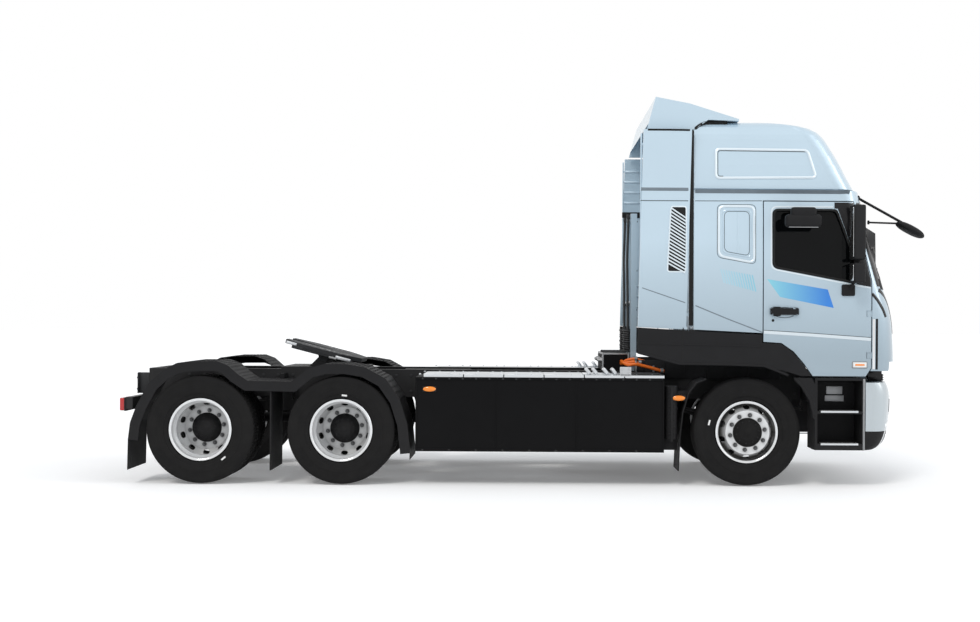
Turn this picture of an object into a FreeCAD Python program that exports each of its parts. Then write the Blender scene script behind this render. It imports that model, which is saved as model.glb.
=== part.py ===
import FreeCAD, Part
import math
import os
import Sketcher
from FreeCAD import Placement, Rotation, Vector
from types import SimpleNamespace

# A battery-electric tractor unit: sleeper cab over the front axle, two driven axles, a fifth wheel.
# +X points forward, +Y to the left and +Z up. The origin is on the ground under the middle.
# Places "ahead" and "back" are counted forward and rearward from the front axle.

SIZES = {
    "whole vehicle": {
        "front_axle_x": 2150, "wheelbase": 3900, "tandem_gap": 1350, "body_half": 1250,
        "run_gap": 0.3, "panel_gap": 10, "overrun": 40, "sheet": 6, "wheel_z": 522,
    },
    "tyres and wheels": {
        "tyre_wide": 296, "bead_radius": 285, "flange_radius": 298, "front_wheel_y": 1020,
        "twin_wheel_y": 1105, "twin_gap": 350, "barrel_wall": 8, "disc_thick": 14, "hub_radius": 140,
        "disc_radius": 211, "hand_hole_ring": 240, "hand_hole_long": 68, "hand_hole_wide": 40,
        "hand_hole_count": 10, "front_disc_out": 150, "hub_front_out": 186, "twin_disc_in": 175,
        "twin_hub_out": 90, "drum_radius": 205, "drum_wide": 150, "spindle_radius": 45,
    },
    "frame": {
        "rail_half": 430, "rail_top": 1080, "rail_tall": 280, "rail_flange": 80, "rail_web": 10,
        "rail_ahead": 1230, "rail_back": 5900, "cross_long": 80, "cross_tall": 140,
    },
    "front axle": {
        "kingpin_y": 830, "kingpin_radius": 22, "eye_radius": 48, "eye_tall": 144, "beam_deep": 96,
        "beam_tall": 100, "beam_drop": 100, "jaw_tall": 40, "jaw_reach": 66, "jaw_gap": 6,
        "arm_back": 230, "arm_wide": 50, "arm_tall": 26, "rod_radius": 20, "stud_tall": 40,
        "stud_radius": 14, "rod_eye_radius": 32,
        "spring_y": 400, "spring_wide": 80, "spring_reach": 700, "spring_rise": 120,
        "spring_thick": 60, "spring_low": 40, "hanger_wide": 60,
    },
    "rear axles": {
        "axle_radius": 60, "bowl_radius": 215, "bowl_long": 240, "shaft_radius": 50, "shaft_z": 560,
        "bogie_spring_y": 495, "bogie_spring_wide": 90, "bogie_reach": 760, "bogie_rise": 150,
        "bogie_thick": 110, "trunnion_radius": 90,
    },
    "battery boxes": {
        "battery_back": 3189, "battery_front": 805, "battery_low": 327, "battery_top": 1040,
        "battery_inner": 500, "battery_outer": 1235, "cover_thick": 24, "cover_pitch": 386,
        "cover_gap": 10, "bracket_wide": 80,
    },
    "drive": {
        "motor_ahead": 500, "motor_long": 900, "motor_half": 300, "motor_low": 480, "motor_top": 860,
        "gear_long": 500, "gear_half": 190, "gear_low": 430,
        "control_back": 1349, "control_long": 265, "control_half": 400, "control_top": 1257,
        "cable_radius": 18, "cable_gap": 90, "cable_rise": 60, "cable_reach": 180,
        "tank_radius": 130, "tank_long": 690, "tank_y": 230, "tank_back": 3402,
    },
    "fenders": {
        "fender_back": 5942, "fender_front": 3235, "fender_top": 1180, "fender_inner": 620,
        "lip_thick": 12, "flap_thick": 12, "flap_low": 135, "fender_stay": 40,
    },
    "fifth wheel": {
        "pivot_back": 4200, "pivot_z": 1190, "plate_above": 87, "plate_rear": 430, "plate_front": 370,
        "plate_half": 470, "plate_thick": 40, "plate_tilt": 14.4, "kingpin_bore": 51,
        "pivot_pin_radius": 25, "pivot_lug_y": 300, "pivot_lug_wide": 60, "base_thick": 24,
        "base_half_long": 420, "stand_half_long": 150,
    },
    "tail": {
        "lamp_back": 6030, "lamp_deep": 126, "lamp_low": 690, "lamp_tall": 139, "lamp_inner": 880,
        "lamp_outer": 1225, "tail_bar_deep": 60,
        "tow_hole_radius": 10.5, "tow_hole_across": 160, "tow_hole_rise": 100, "tow_hole_z": 960,
    },
    "bumper": {
        "bumper_low": 361, "bumper_seam": 544, "bumper_top": 1010, "bumper_ahead": 1470,
        "bumper_back": 1120, "bumper_wall": 50, "bumper_corner": 290,
        "headlamp_inner": 640, "headlamp_outer": 1080, "headlamp_low": 700, "headlamp_tall": 170,
    },
    "steps": {
        "step_front": 1112, "step_back": 636, "step_top": 1052, "step_low": 361, "step_inner": 900,
        "step_wall": 24, "tread_high": 734, "tread_low": 423, "tread_thick": 26,
    },
    "front mudguards": {
        "guard_back": 657, "guard_inner": 800, "guard_outer": 1200, "guard_thick": 10,
        "guard_tank_radius": 60, "guard_tank_back": 730, "guard_tank_low": 452, "guard_tank_tall": 507,
    },
    "cab": {
        "cab_back": 530, "cab_long": 2040, "cab_low": 1070, "cab_tall": 1780, "cab_half": 1250,
        "cab_corner": 300, "cab_wall": 50, "floor_z": 1210, "floor_thick": 40, "tilt_in": 260,
        "tilt_z": 950, "tilt_pin_radius": 24, "tilt_arm_y": 560, "tilt_arm_wide": 60,
        "tilt_arm_radius": 60, "glass_in": 14, "glass_thick": 6,
        "roof_low": 2862, "roof_tall": 658, "roof_wall": 40, "seam_in": 14,
    },
    "doors": {
        "door_back_ahead": 139, "door_front_in": 342, "door_top": 2740, "door_sill": 1070,
        "hinge_in": 16, "hinge_back": 30, "hinge_low": 1240, "hinge_high": 1640, "hinge_tall": 60,
        "hinge_pin_radius": 5, "hinge_pin_long": 100, "hinge_leaf": 14,
        "window_back_ahead": 228, "window_front_in": 490, "window_top": 2666,
        "window_rear_sill": 2116, "window_front_sill": 1960,
        "handle_long": 270, "handle_tall": 70, "handle_out": 30, "handle_ahead": 200,
        "handle_z": 1650,
    },
    "windscreen and front": {
        "screen_half": 1090, "screen_low": 2010, "screen_top": 2760, "screen_round": 90,
        "front_black_low": 1122, "lid_half": 820, "lid_low": 1440, "lid_top": 1880,
        "lid_thick": 22, "lid_hinge_in": 114, "lid_hinge_rise": 35, "lid_tab_y": 220,
        "lid_tab_wide": 40, "lid_tab_thick": 14, "lid_pin_reach": 15,
    },
    "skirts": {
        "skirt_thick": 24, "skirt_in": 10,
    },
    "deflectors": {
        "side_back": 1063, "side_front": 578, "side_low": 1535, "side_top": 3424, "side_thick": 34,
        "side_in": 6, "vent_back": 770, "vent_front": 616, "vent_low": 2075, "vent_top": 2670,
        "vent_slats": 16, "slat_tall": 14, "slat_rise": 60,
        "wing_back": 979, "wing_front": 92, "wing_low": 3436, "wing_top": 3750, "wing_half": 1150,
        "wing_wall": 12, "wing_seal": 6,
    },
    "cab inside": {
        "dash_deep": 420, "dash_low": 1700, "dash_top": 2020, "dash_half": 1080, "seat_in": 860,
        "seat_y": 560, "seat_wide": 520, "seat_long": 520, "seat_thick": 150, "seat_z": 1690,
        "seat_back_tall": 760, "seat_back_thick": 140, "seat_base_wide": 380,
        "bunk_long": 520, "bunk_thick": 140, "bunk_z": 1640, "bunk_half": 1050, "bunk_base_in": 40,
        "wheel_ring_radius": 225, "wheel_ring_tube": 16, "wheel_centre_in": 810,
        "wheel_centre_z": 2060, "wheel_tilt": 30, "column_radius": 35, "column_long": 190,
    },
    "mirrors": {
        "mirror_in": 563, "mirror_deep": 130, "mirror_out": 24, "mirror_wide": 210,
        "mirror_low": 2180, "mirror_top": 2700, "wide_low": 1960, "wide_top": 2150,
        "mirror_round": 40, "arm_radius": 14, "pad_in": 629, "pad_low": 1836, "pad_tall": 113,
        "kerb_ahead": 295, "kerb_long": 348, "kerb_low": 2472, "kerb_tall": 200, "kerb_wide": 120,
        "kerb_out": 140,
        "front_mirror_out": 86, "front_mirror_z": 2487, "front_mirror_y": 1020,
        "front_mirror_long": 275, "front_mirror_thick": 90, "front_mirror_wide": 230,
        "front_mirror_tilt": 28, "front_arm_foot_z": 2800,
    },
    "hose stand": {
        "stand_back": 1040, "stand_deep": 60, "stand_half": 420, "stand_top": 2680,
        "stand_post": 50, "hose_radius": 14, "hose_y": 240, "hose_low": 1500, "coil_radius": 60,
        "coil_low": 1264,
    },
    "small lamps": {
        "oval_long": 130, "oval_tall": 50, "oval_thick": 14, "oval_front_back": 729,
        "oval_front_z": 824, "oval_rear_back": 3120, "oval_rear_z": 899,
    },
}

# Outlines follow their piece's own box: each pair is a share of its length and of its height.
CAB_SHARES = ((0.0, 0.985, 0.992), (0.073, 1.0, 1.0), (0.194, 0.996, 1.0), (0.332, 0.984, 1.0),
              (0.469, 0.950, 0.998), (0.579, 0.922, 0.995), (0.717, 0.888, 0.990), (0.811, 0.868, 0.986),
              (0.906, 0.848, 0.981), (1.0, 0.828, 0.975))
ROOF_SHARES = ((0.0, 0.809, 0.972), (0.107, 0.790, 0.970), (0.214, 0.771, 0.968), (0.352, 0.749, 0.964),
               (0.49, 0.725, 0.958), (0.62, 0.700, 0.951), (0.73, 0.678, 0.945), (0.80, 0.661, 0.939),
               (0.86, 0.642, 0.930), (0.91, 0.614, 0.916), (0.945, 0.578, 0.899), (0.97, 0.535, 0.879),
               (0.988, 0.485, 0.857), (1.0, 0.43, 0.83))
BUMPER_SHARES = ((0.0, 0.90, 0.985), (0.12, 0.96, 0.995), (0.3, 0.985, 1.0), (0.8, 1.0, 1.0),
                 (1.0, 0.975, 0.995))
DOOR_SHARES = ((0.0, 0.195), (0.167, 0.189), (0.282, 0.140), (0.374, 0.075), (0.461, 0.0),
               (0.953, 0.0), (1.0, 0.048), (1.0, 0.551), (0.837, 1.0), (0.0, 1.0))
TYRE_SHARES = ((0.44, 0.60), (0.5, 0.76), (0.47, 0.93), (0.42, 0.985), (0.2, 1.0))
HAND_HOLE_SHARES = ((1.0, 0.0), (0.8, 0.75), (0.3, 1.0), (-0.3, 1.0), (-0.8, 0.75), (-1.0, 0.0),
                    (-0.8, -0.75), (-0.3, -1.0), (0.3, -1.0), (0.8, -0.75))
FENDER_SHARES = ((0.0, 0.0), (0.002, 0.36), (0.009, 0.497), (0.031, 0.635), (0.074, 0.818),
                 (0.123, 0.92), (0.171, 0.98), (0.225, 0.998), (0.314, 1.0), (0.352, 0.968),
                 (0.388, 0.896), (0.424, 0.842), (0.579, 0.836), (0.636, 0.944), (0.694, 0.981),
                 (0.767, 0.983), (0.838, 0.957), (0.911, 0.866), (0.961, 0.702), (0.989, 0.5),
                 (1.0, 0.262), (1.0, 0.21))
MOUTH_SHARES = ((0.0, 1.0), (0.5, 0.866), (0.866, 0.5), (1.0, 0.0), (0.866, -0.5), (0.5, -0.866),
                (0.0, -1.0))
WING_SHARES = ((0.0, 0.0), (0.094, 1.0), (0.465, 0.80), (1.0, 0.33), (1.0, 0.27), (0.667, 0.305),
               (0.517, 0.0))


class Size:
    """A value together with the spreadsheet expression that gives it."""

    def __init__(self, value, text):
        self.value = value
        self.text = text

    def merged(self, sign, other, value):
        return Size(value, f"({self.text} {sign} {words(other)})")

    def __add__(self, other):
        return self.merged("+", other, self.value + number(other))

    def __sub__(self, other):
        return self.merged("-", other, self.value - number(other))

    def __mul__(self, other):
        return self.merged("*", other, self.value * number(other))

    def __truediv__(self, other):
        return self.merged("/", other, self.value / number(other))

    def __neg__(self):
        return Size(-self.value, f"(-1 * {self.text})")

    __rmul__ = __mul__


def words(item):
    return item.text if isinstance(item, Size) else f"({item})"


def number(item):
    return item.value if isinstance(item, Size) else item


def tie(thing, **places):
    """Bind properties of an object to sizes; a double underscore stands for a dot."""
    for name, item in places.items():
        thing.setExpression(name.replace("__", "."), words(item))
    return thing


def size_sheet():
    """Fill the spreadsheet and return its sizes by name."""
    sheet = doc.addObject("Spreadsheet::Sheet", "sizes")
    named = SimpleNamespace()
    row = 0
    for heading, group in SIZES.items():
        row += 1
        sheet.set(f"A{row}", heading)
        for name, value in group.items():
            row += 1
            sheet.set(f"A{row}", name)
            sheet.set(f"B{row}", str(value))
            sheet.setAlias(f"B{row}", name)
            setattr(named, name, Size(value, f"sizes.{name}"))
    doc.recompute()
    return named


doc = FreeCAD.newDocument("tractor_unit")
s = size_sheet()
nodes = {}

X, Y, Z = Vector(1, 0, 0), Vector(0, 1, 0), Vector(0, 0, 1)
TURNS = {"X": Rotation(Y, 90), "Y": Rotation(X, -90), "Z": Rotation()}
zero = s.sheet * 0

# Places that follow the cab's front
cab_front = s.cab_long - s.cab_back
tilt_ahead = cab_front - s.tilt_in
door_front = cab_front - s.door_front_in
window_front = cab_front - s.window_front_in
front_mirror_place = cab_front + s.front_mirror_out


def ahead(size):
    return s.front_axle_x + size


def back(size):
    return s.front_axle_x - size


# Basic solids

def placed(thing, at):
    return tie(thing, Placement__Base__x=at[0], Placement__Base__y=at[1], Placement__Base__z=at[2])


def box(name, low, high):
    solid = doc.addObject("Part::Box", name)
    tie(solid, Length=high[0] - low[0], Width=high[1] - low[1], Height=high[2] - low[2])
    return placed(solid, low)


def drum(name, axis, radius, long, at):
    solid = doc.addObject("Part::Cylinder", name)
    solid.Placement = Placement(Vector(), TURNS[axis])
    tie(solid, Radius=radius, Height=long)
    return placed(solid, at)


def origin_plane(body, role):
    return next(plane for plane in body.Origin.OriginFeatures if plane.Role == role)


def sketched(body, role, points):
    """A closed outline of straight lines whose corners are all bound to sizes."""
    sketch = body.newObject("Sketcher::SketchObject", "outline")
    sketch.AttachmentSupport = [(origin_plane(body, role), "")]
    sketch.MapMode = "FlatFace"
    spots = [Vector(number(u), number(v), 0) for u, v in points]
    for place, spot in enumerate(spots):
        sketch.addGeometry(Part.LineSegment(spot, spots[(place + 1) % len(spots)]), False)
    for place, (u, v) in enumerate(points):
        sketch.addConstraint(Sketcher.Constraint("Coincident", place, 2, (place + 1) % len(points), 1))
        for kind, item in (("DistanceX", u), ("DistanceY", v)):
            index = sketch.addConstraint(Sketcher.Constraint(kind, place, 1, number(item)))
            sketch.setExpression(f"Constraints[{index}]", words(item))
    return sketch


def prism(name, plane, points, low, high, rounds=()):
    """An outline in a main plane, carried from low to high along that plane's normal."""
    body = doc.addObject("PartDesign::Body", name)
    sketch = sketched(body, f"{plane}_Plane", points)
    tie(sketch, AttachmentOffset__Base__z=-high if plane == "XZ" else low)
    pad = body.newObject("PartDesign::Pad", "pad")
    pad.Profile = sketch
    tie(pad, Length=high - low)
    for corners, radius in rounds:
        rounded(body, [points[corner] for corner in corners], plane, radius)
    return body


def rounded(body, corners, plane, radius):
    """Round the long edges that stand on the given corners of a prism's outline."""
    doc.recompute()
    base = body.Tip
    axes = {"XY": "xy", "XZ": "xz", "YZ": "yz"}[plane]
    spots = [(number(u), number(v)) for u, v in corners]

    def stands(edge):
        first, last = edge.firstVertex().Point, edge.lastVertex().Point
        place = [(getattr(end, axes[0]), getattr(end, axes[1])) for end in (first, last)]
        return any(math.dist(place[0], spot) + math.dist(place[1], spot) < s.run_gap.value
                   for spot in spots)

    edges = [f"Edge{index}" for index, edge in enumerate(base.Shape.Edges, 1) if stands(edge)]
    fillet = body.newObject("PartDesign::Fillet", "rounding")
    fillet.Base = (base, edges)
    tie(fillet, Radius=radius)


def spun(name, points):
    """A ring or disc about the Y axis, from pairs of place along Y and radius."""
    body = doc.addObject("PartDesign::Body", name)
    sketch = sketched(body, "YZ_Plane", points)
    turned = body.newObject("PartDesign::Revolution", "turned")
    turned.Profile = sketch
    turned.ReferenceAxis = (sketch, ["H_Axis"])
    turned.Angle = 360
    return body


def joined(name, *parts):
    solid = doc.addObject("Part::MultiFuse", name)
    solid.Shapes = list(parts)
    solid.Refine = True
    return solid


def cut(name, base, *tools):
    for tool in tools:
        solid = doc.addObject("Part::Cut", name)
        solid.Base = base
        solid.Tool = tool
        base = solid
    return base


def common(name, base, tool):
    solid = doc.addObject("Part::Common", name)
    solid.Base = base
    solid.Tool = tool
    return solid


def mirrored(name, source):
    solid = doc.addObject("Part::Mirroring", name)
    solid.Source = source
    solid.Normal = Y
    return solid


def together(name, *parts):
    """Pieces that share a node without touching."""
    group = doc.addObject("Part::Compound", name)
    group.Links = list(parts)
    return group


def moved(name, source, at):
    return placed(together(name, source), at)


def grown(name, source, gap):
    solid = doc.addObject("Part::Offset", name)
    solid.Source = source
    solid.Join = 2
    return tie(solid, Value=gap)


def feature(name, shape):
    solid = doc.addObject("Part::Feature", name)
    solid.Shape = shape
    return solid


def node(name, thing):
    thing.Label = name
    nodes[name] = thing
    return thing


def pair(name, thing):
    node(f"{name}_right", thing)
    node(f"{name}_left", mirrored(f"{name}_left", thing))


def both_sides(name, thing):
    node(name, together(f"{name}_pair", thing, mirrored(f"{name}_far", thing)))


def outlined(shares, low, high):
    """Outline points inside the box from low to high."""
    return [(low[0] + u * (high[0] - low[0]), low[1] + v * (high[1] - low[1])) for u, v in shares]


# Frame

def frame():
    low = s.rail_top - s.rail_tall
    inner = s.rail_half - s.rail_flange
    web = s.rail_half - s.rail_web
    points = [(-s.rail_half, low), (-inner, low), (-inner, low + s.rail_web), (-web, low + s.rail_web),
              (-web, s.rail_top - s.rail_web), (-inner, s.rail_top - s.rail_web), (-inner, s.rail_top),
              (-s.rail_half, s.rail_top)]
    rail = prism("rail", "YZ", points, back(s.rail_back), ahead(s.rail_ahead))
    members = [rail, mirrored("rail_far", rail)]
    middle = low + (s.rail_tall - s.cross_tall) / 2
    for share in (0.20, 0.32, 0.45, 0.60, 0.795, 1.0):
        place = back(share * (s.rail_back - s.cross_long))
        members.append(box("cross_member", (place, -web, middle),
                           (place + s.cross_long, web, middle + s.cross_tall)))
    front = ahead(s.rail_ahead - s.cross_long)
    members.append(box("front_member", (front, -web, middle),
                       (front + s.cross_long, web, middle + s.cross_tall)))
    node("frame_rails", joined("frame", *members, *battery_brackets(), *tilt_brackets()))


def battery_brackets():
    """Arms from both rails out to the battery boxes."""
    long = s.battery_back - s.battery_front
    brackets = []
    for share in (0.08, 0.36, 0.64, 0.92):
        place = back(s.battery_back) + share * long
        bracket = box("bracket", (place - s.bracket_wide / 2, -s.battery_inner, s.rail_top - s.rail_tall),
                      (place + s.bracket_wide / 2, -s.rail_half, s.rail_top - s.rail_tall / 4))
        brackets += [bracket, mirrored("bracket_far", bracket)]
    return brackets


def tilt_brackets():
    """Brackets at the rails' front ends with the pins that the cab tilts on."""
    outer = s.tilt_arm_y - s.tilt_arm_wide / 2 - s.run_gap
    block = box("tilt_block", (ahead(s.rail_ahead - 3 * s.cross_long), -outer,
                               s.rail_top - s.rail_tall / 1.4),
                (ahead(tilt_ahead + s.tilt_arm_radius), -s.rail_half, s.rail_top - s.rail_tall / 3.5))
    pin = drum("tilt_pin", "Y", s.tilt_pin_radius, s.tilt_arm_wide + s.overrun,
               (ahead(tilt_ahead), -s.tilt_arm_y - s.tilt_arm_wide / 2, s.tilt_z))
    bracket = joined("tilt_bracket", block, pin)
    return [bracket, mirrored("tilt_bracket_far", bracket)]


# Front axle, springs and steering

def front_axle():
    low = s.wheel_z - s.beam_drop
    high = low + s.beam_tall
    eye_low = s.wheel_z - s.eye_tall / 2
    rise = 0.72 * s.kingpin_y
    flat = 0.58 * s.kingpin_y
    points = [(-flat, low), (flat, low), (rise, eye_low + 0.1 * s.eye_tall),
              (s.kingpin_y, eye_low + 0.1 * s.eye_tall),
              (s.kingpin_y, eye_low + 0.9 * s.eye_tall), (rise, eye_low + 0.9 * s.eye_tall), (flat, high),
              (-flat, high), (-rise, eye_low + 0.9 * s.eye_tall),
              (-s.kingpin_y, eye_low + 0.9 * s.eye_tall),
              (-s.kingpin_y, eye_low + 0.1 * s.eye_tall), (-rise, eye_low + 0.1 * s.eye_tall)]
    beam = prism("beam", "YZ", points, ahead(-s.beam_deep / 2), ahead(s.beam_deep / 2))
    eye = drum("eye", "Z", s.eye_radius, s.eye_tall, (ahead(zero), -s.kingpin_y, eye_low))
    bore = drum("eye_bore", "Z", s.kingpin_radius + s.run_gap, s.eye_tall + 2 * s.overrun,
                (ahead(zero), -s.kingpin_y, eye_low - s.overrun))
    solid = joined("axle_blank", beam, eye, mirrored("eye_far", eye))
    node("front_axle_beam", cut("front_axle", solid, bore, mirrored("bore_far", bore)))


def front_spring():
    top = s.wheel_z - s.beam_drop + s.beam_tall + s.spring_low + s.spring_thick
    low_y = -s.spring_y - s.spring_wide / 2
    high_y = -s.spring_y + s.spring_wide / 2
    reach, rise, thick = s.spring_reach, s.spring_rise, s.spring_thick
    points = [(ahead(-reach), top + rise), (ahead(-0.5 * reach), top + 0.22 * rise), (ahead(zero), top),
              (ahead(0.5 * reach), top + 0.22 * rise), (ahead(reach), top + rise),
              (ahead(reach), top + rise - 0.35 * thick),
              (ahead(0.5 * reach), top + 0.22 * rise - 0.75 * thick),
              (ahead(0.14 * reach), top - thick), (ahead(-0.14 * reach), top - thick),
              (ahead(-0.5 * reach), top + 0.22 * rise - 0.75 * thick),
              (ahead(-reach), top + rise - 0.35 * thick)]
    leaves = prism("leaves", "XZ", points, low_y, high_y)
    seat = box("spring_pad", (ahead(-s.spring_low * 1.6), low_y, top - thick - s.spring_low),
               (ahead(s.spring_low * 1.6), high_y, top - thick + s.overrun / 4))
    rail_low = s.rail_top - s.rail_tall
    hangers = [box("hanger", (place - s.hanger_wide / 2, low_y, top + rise - thick),
                   (place + s.hanger_wide / 2, high_y, rail_low))
               for place in (ahead(-reach), ahead(reach))]
    return joined("front_spring", leaves, seat, *hangers)


def knuckle():
    eye_low = s.wheel_z - s.eye_tall / 2
    eye_high = eye_low + s.eye_tall
    inner = s.kingpin_y - 0.8 * s.eye_radius
    outer = s.kingpin_y + s.jaw_reach
    seat = s.kingpin_y + s.eye_radius + s.jaw_gap
    low = eye_low - s.jaw_gap - s.jaw_tall
    high = eye_high + s.jaw_gap + s.jaw_tall
    points = [(-inner, low), (-inner, low + s.jaw_tall), (-seat, low + s.jaw_tall),
              (-seat, high - s.jaw_tall),
              (-inner, high - s.jaw_tall), (-inner, high), (-outer, high), (-outer, low)]
    jaws = prism("jaws", "YZ", points, ahead(-s.eye_radius), ahead(s.eye_radius))
    pin = drum("kingpin", "Z", s.kingpin_radius, high - low, (ahead(zero), -s.kingpin_y, low))
    long = s.front_wheel_y - seat
    spindle = drum("spindle", "Y", s.spindle_radius, long, (ahead(zero), -s.front_wheel_y, s.wheel_z))
    arm = box("steering_arm", (back(s.arm_back + s.arm_wide / 2), -s.kingpin_y - s.arm_wide / 4, low),
              (ahead(zero), -s.kingpin_y + s.arm_wide * 0.75, low + s.arm_tall))
    stud = drum("arm_stud", "Z", s.stud_radius, s.stud_tall,
                (back(s.arm_back), -s.kingpin_y + s.arm_wide / 4, low - s.stud_tall))
    pair("knuckle", joined("knuckle", jaws, pin, spindle, arm, stud))


def tie_rod():
    low = s.wheel_z - s.eye_tall / 2 - s.jaw_gap - s.jaw_tall
    top = low - s.stud_tall - s.run_gap
    half = s.kingpin_y - s.arm_wide / 4
    tall = 2.4 * s.rod_radius
    rod = drum("rod", "Y", s.rod_radius, 2 * half, (back(s.arm_back), -half, top - tall / 2))
    eyes = [drum("rod_eye", "Z", s.rod_eye_radius, tall, (back(s.arm_back), side * half, top - tall))
            for side in (-1, 1)]
    node("tie_rod", joined("rod_and_eyes", rod, *eyes))


# Wheels

def tyre(name, middle):
    """A tyre whose middle plane lies at the given place along Y; its section is symmetrical."""
    seat = 0.36 * s.tyre_wide
    half = [(seat, s.bead_radius), (seat, s.flange_radius)]
    half += [(u * s.tyre_wide, v * s.wheel_z) for u, v in TYRE_SHARES]
    points = [(middle + u, v) for u, v in half] + [(middle - u, v) for u, v in reversed(half)]
    return spun(name, points)


def barrel_points(middle):
    """Section of a rim barrel, flange to flange."""
    reach = 0.43 * s.tyre_wide
    seat = 0.36 * s.tyre_wide
    well = 0.2 * s.tyre_wide
    low = s.bead_radius - s.barrel_wall
    deep = 3 * s.barrel_wall
    return [(middle - reach, low), (middle - well, low), (middle - well / 2, low - deep),
            (middle + well / 2, low - deep), (middle + well, low), (middle + reach, low),
            (middle + reach, s.flange_radius), (middle + seat, s.flange_radius),
            (middle + seat, s.bead_radius),
            (middle + well, s.bead_radius), (middle + well / 2, s.bead_radius - deep),
            (middle - well / 2, s.bead_radius - deep), (middle - well, s.bead_radius),
            (middle - seat, s.bead_radius), (middle - seat, s.flange_radius),
            (middle - reach, s.flange_radius)]


def hand_holes(low, high):
    points = [(u * s.hand_hole_long / 2, s.hand_hole_ring + v * s.hand_hole_wide / 2)
              for u, v in HAND_HOLE_SHARES]
    hole = prism("hand_hole", "XZ", points, low, high)
    pattern = hole.newObject("PartDesign::PolarPattern", "hole_ring")
    pattern.Originals = [hole.Tip]
    pattern.Axis = (origin_axis(hole), [""])
    pattern.Angle = 360
    tie(pattern, Occurrences=s.hand_hole_count)
    hole.Tip = pattern
    return hole


def origin_axis(body):
    return next(axis for axis in body.Origin.OriginFeatures if axis.Role == "Y_Axis")


def front_wheel_disc():
    """The dished disc, hub and brake drum; outside is towards negative Y."""
    out = -s.front_disc_out
    thick = s.disc_thick
    low = s.bead_radius - 3 * s.barrel_wall
    flat = s.disc_radius
    points = [(-s.hub_front_out, zero), (-s.hub_front_out, 0.55 * s.hub_radius),
              (out - thick, 0.8 * s.hub_radius),
              (out - thick, flat), (0.3 * out, low), (0.3 * out + 2 * thick, low), (out, flat - thick),
              (out, 1.05 * s.hub_radius), (-thick, 1.05 * s.hub_radius), (-thick, s.drum_radius),
              (s.drum_wide - 3 * thick, s.drum_radius), (s.drum_wide - 3 * thick, s.drum_radius - thick),
              (zero, s.drum_radius - thick), (zero, s.spindle_radius + s.run_gap),
              (-2 * thick, s.spindle_radius + s.run_gap), (-2 * thick, zero)]
    return spun("front_disc", points)


def twin_wheel_disc():
    thick = s.disc_thick
    face = s.twin_disc_in
    low = s.bead_radius - s.barrel_wall / 2
    outer_in = -0.43 * s.tyre_wide + s.twin_gap
    points = [(face - s.twin_hub_out, zero), (face - s.twin_hub_out, 0.35 * s.hub_radius),
              (face - 0.8 * s.twin_hub_out, 0.75 * s.hub_radius), (face - thick, s.hub_radius),
              (face - thick, s.disc_radius), (0.36 * s.tyre_wide, low), (0.43 * s.tyre_wide, low),
              (face, s.disc_radius + thick), (outer_in, low), (outer_in + 2 * thick, low),
              (face + thick, s.disc_radius), (face + 3 * thick, s.drum_radius),
              (face + 3 * thick + s.drum_wide, s.drum_radius),
              (face + 3 * thick + s.drum_wide, s.drum_radius - thick),
              (face + 4 * thick, s.drum_radius - thick),
              (face + 4 * thick, s.spindle_radius + s.run_gap),
              (face - 2 * thick, s.spindle_radius + s.run_gap),
              (face - 2 * thick, zero)]
    return spun("twin_disc", points)


def wheels():
    front_rim = joined("front_rim", cut("front_disc_cut", front_wheel_disc(),
                                        hand_holes(-s.front_disc_out * 1.4, s.drum_wide)),
                       spun("front_barrel", barrel_points(zero)))
    front_tyre = tyre("front_tyre", zero)
    holes = hand_holes(zero, s.twin_gap)
    twin_rim = joined("twin_rim", cut("twin_disc_cut", twin_wheel_disc(), holes),
                      spun("outer_barrel", barrel_points(zero)),
                      spun("inner_barrel", barrel_points(s.twin_gap)))
    twin_tyres = together("twin_tyres", tyre("outer_tyre", zero), tyre("inner_tyre", s.twin_gap))
    sets = (("front", front_rim, front_tyre, ahead(zero), s.front_wheel_y),
            ("drive_1", twin_rim, twin_tyres, back(s.wheelbase), s.twin_wheel_y),
            ("drive_2", twin_rim, twin_tyres, back(s.wheelbase + s.tandem_gap), s.twin_wheel_y))
    for name, rim, rubber, place, side in sets:
        at = (place, -side, s.wheel_z)
        pair(f"{name}_rim", moved(f"{name}_rim", rim, at))
        pair(f"{name}_tyre", moved(f"{name}_tyre", rubber, at))


# Rear axles, suspension and drive line

def rear_axle(place):
    half = s.twin_wheel_y - s.twin_disc_in - 5 * s.disc_thick
    tube = drum("axle_tube", "Y", s.axle_radius, 2 * half, (place, -half, s.wheel_z))
    reach = s.twin_wheel_y - s.twin_disc_in + s.disc_thick
    spindle = drum("axle_spindle", "Y", s.spindle_radius, 2 * reach, (place, -reach, s.wheel_z))
    bowl = drum("axle_bowl", "X", s.bowl_radius, s.bowl_long, (place - s.bowl_long / 2, zero, s.wheel_z))
    nose = drum("axle_nose", "X", s.bowl_radius / 2, s.bowl_long * 1.6,
                (place - s.bowl_long * 0.8, zero, s.shaft_z))
    return joined("axle_body", tube, spindle, bowl, nose)


def rear_axles():
    places = (back(s.wheelbase), back(s.wheelbase + s.tandem_gap))
    node("rear_axles", together("axles", *[rear_axle(place) for place in places]))


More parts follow.
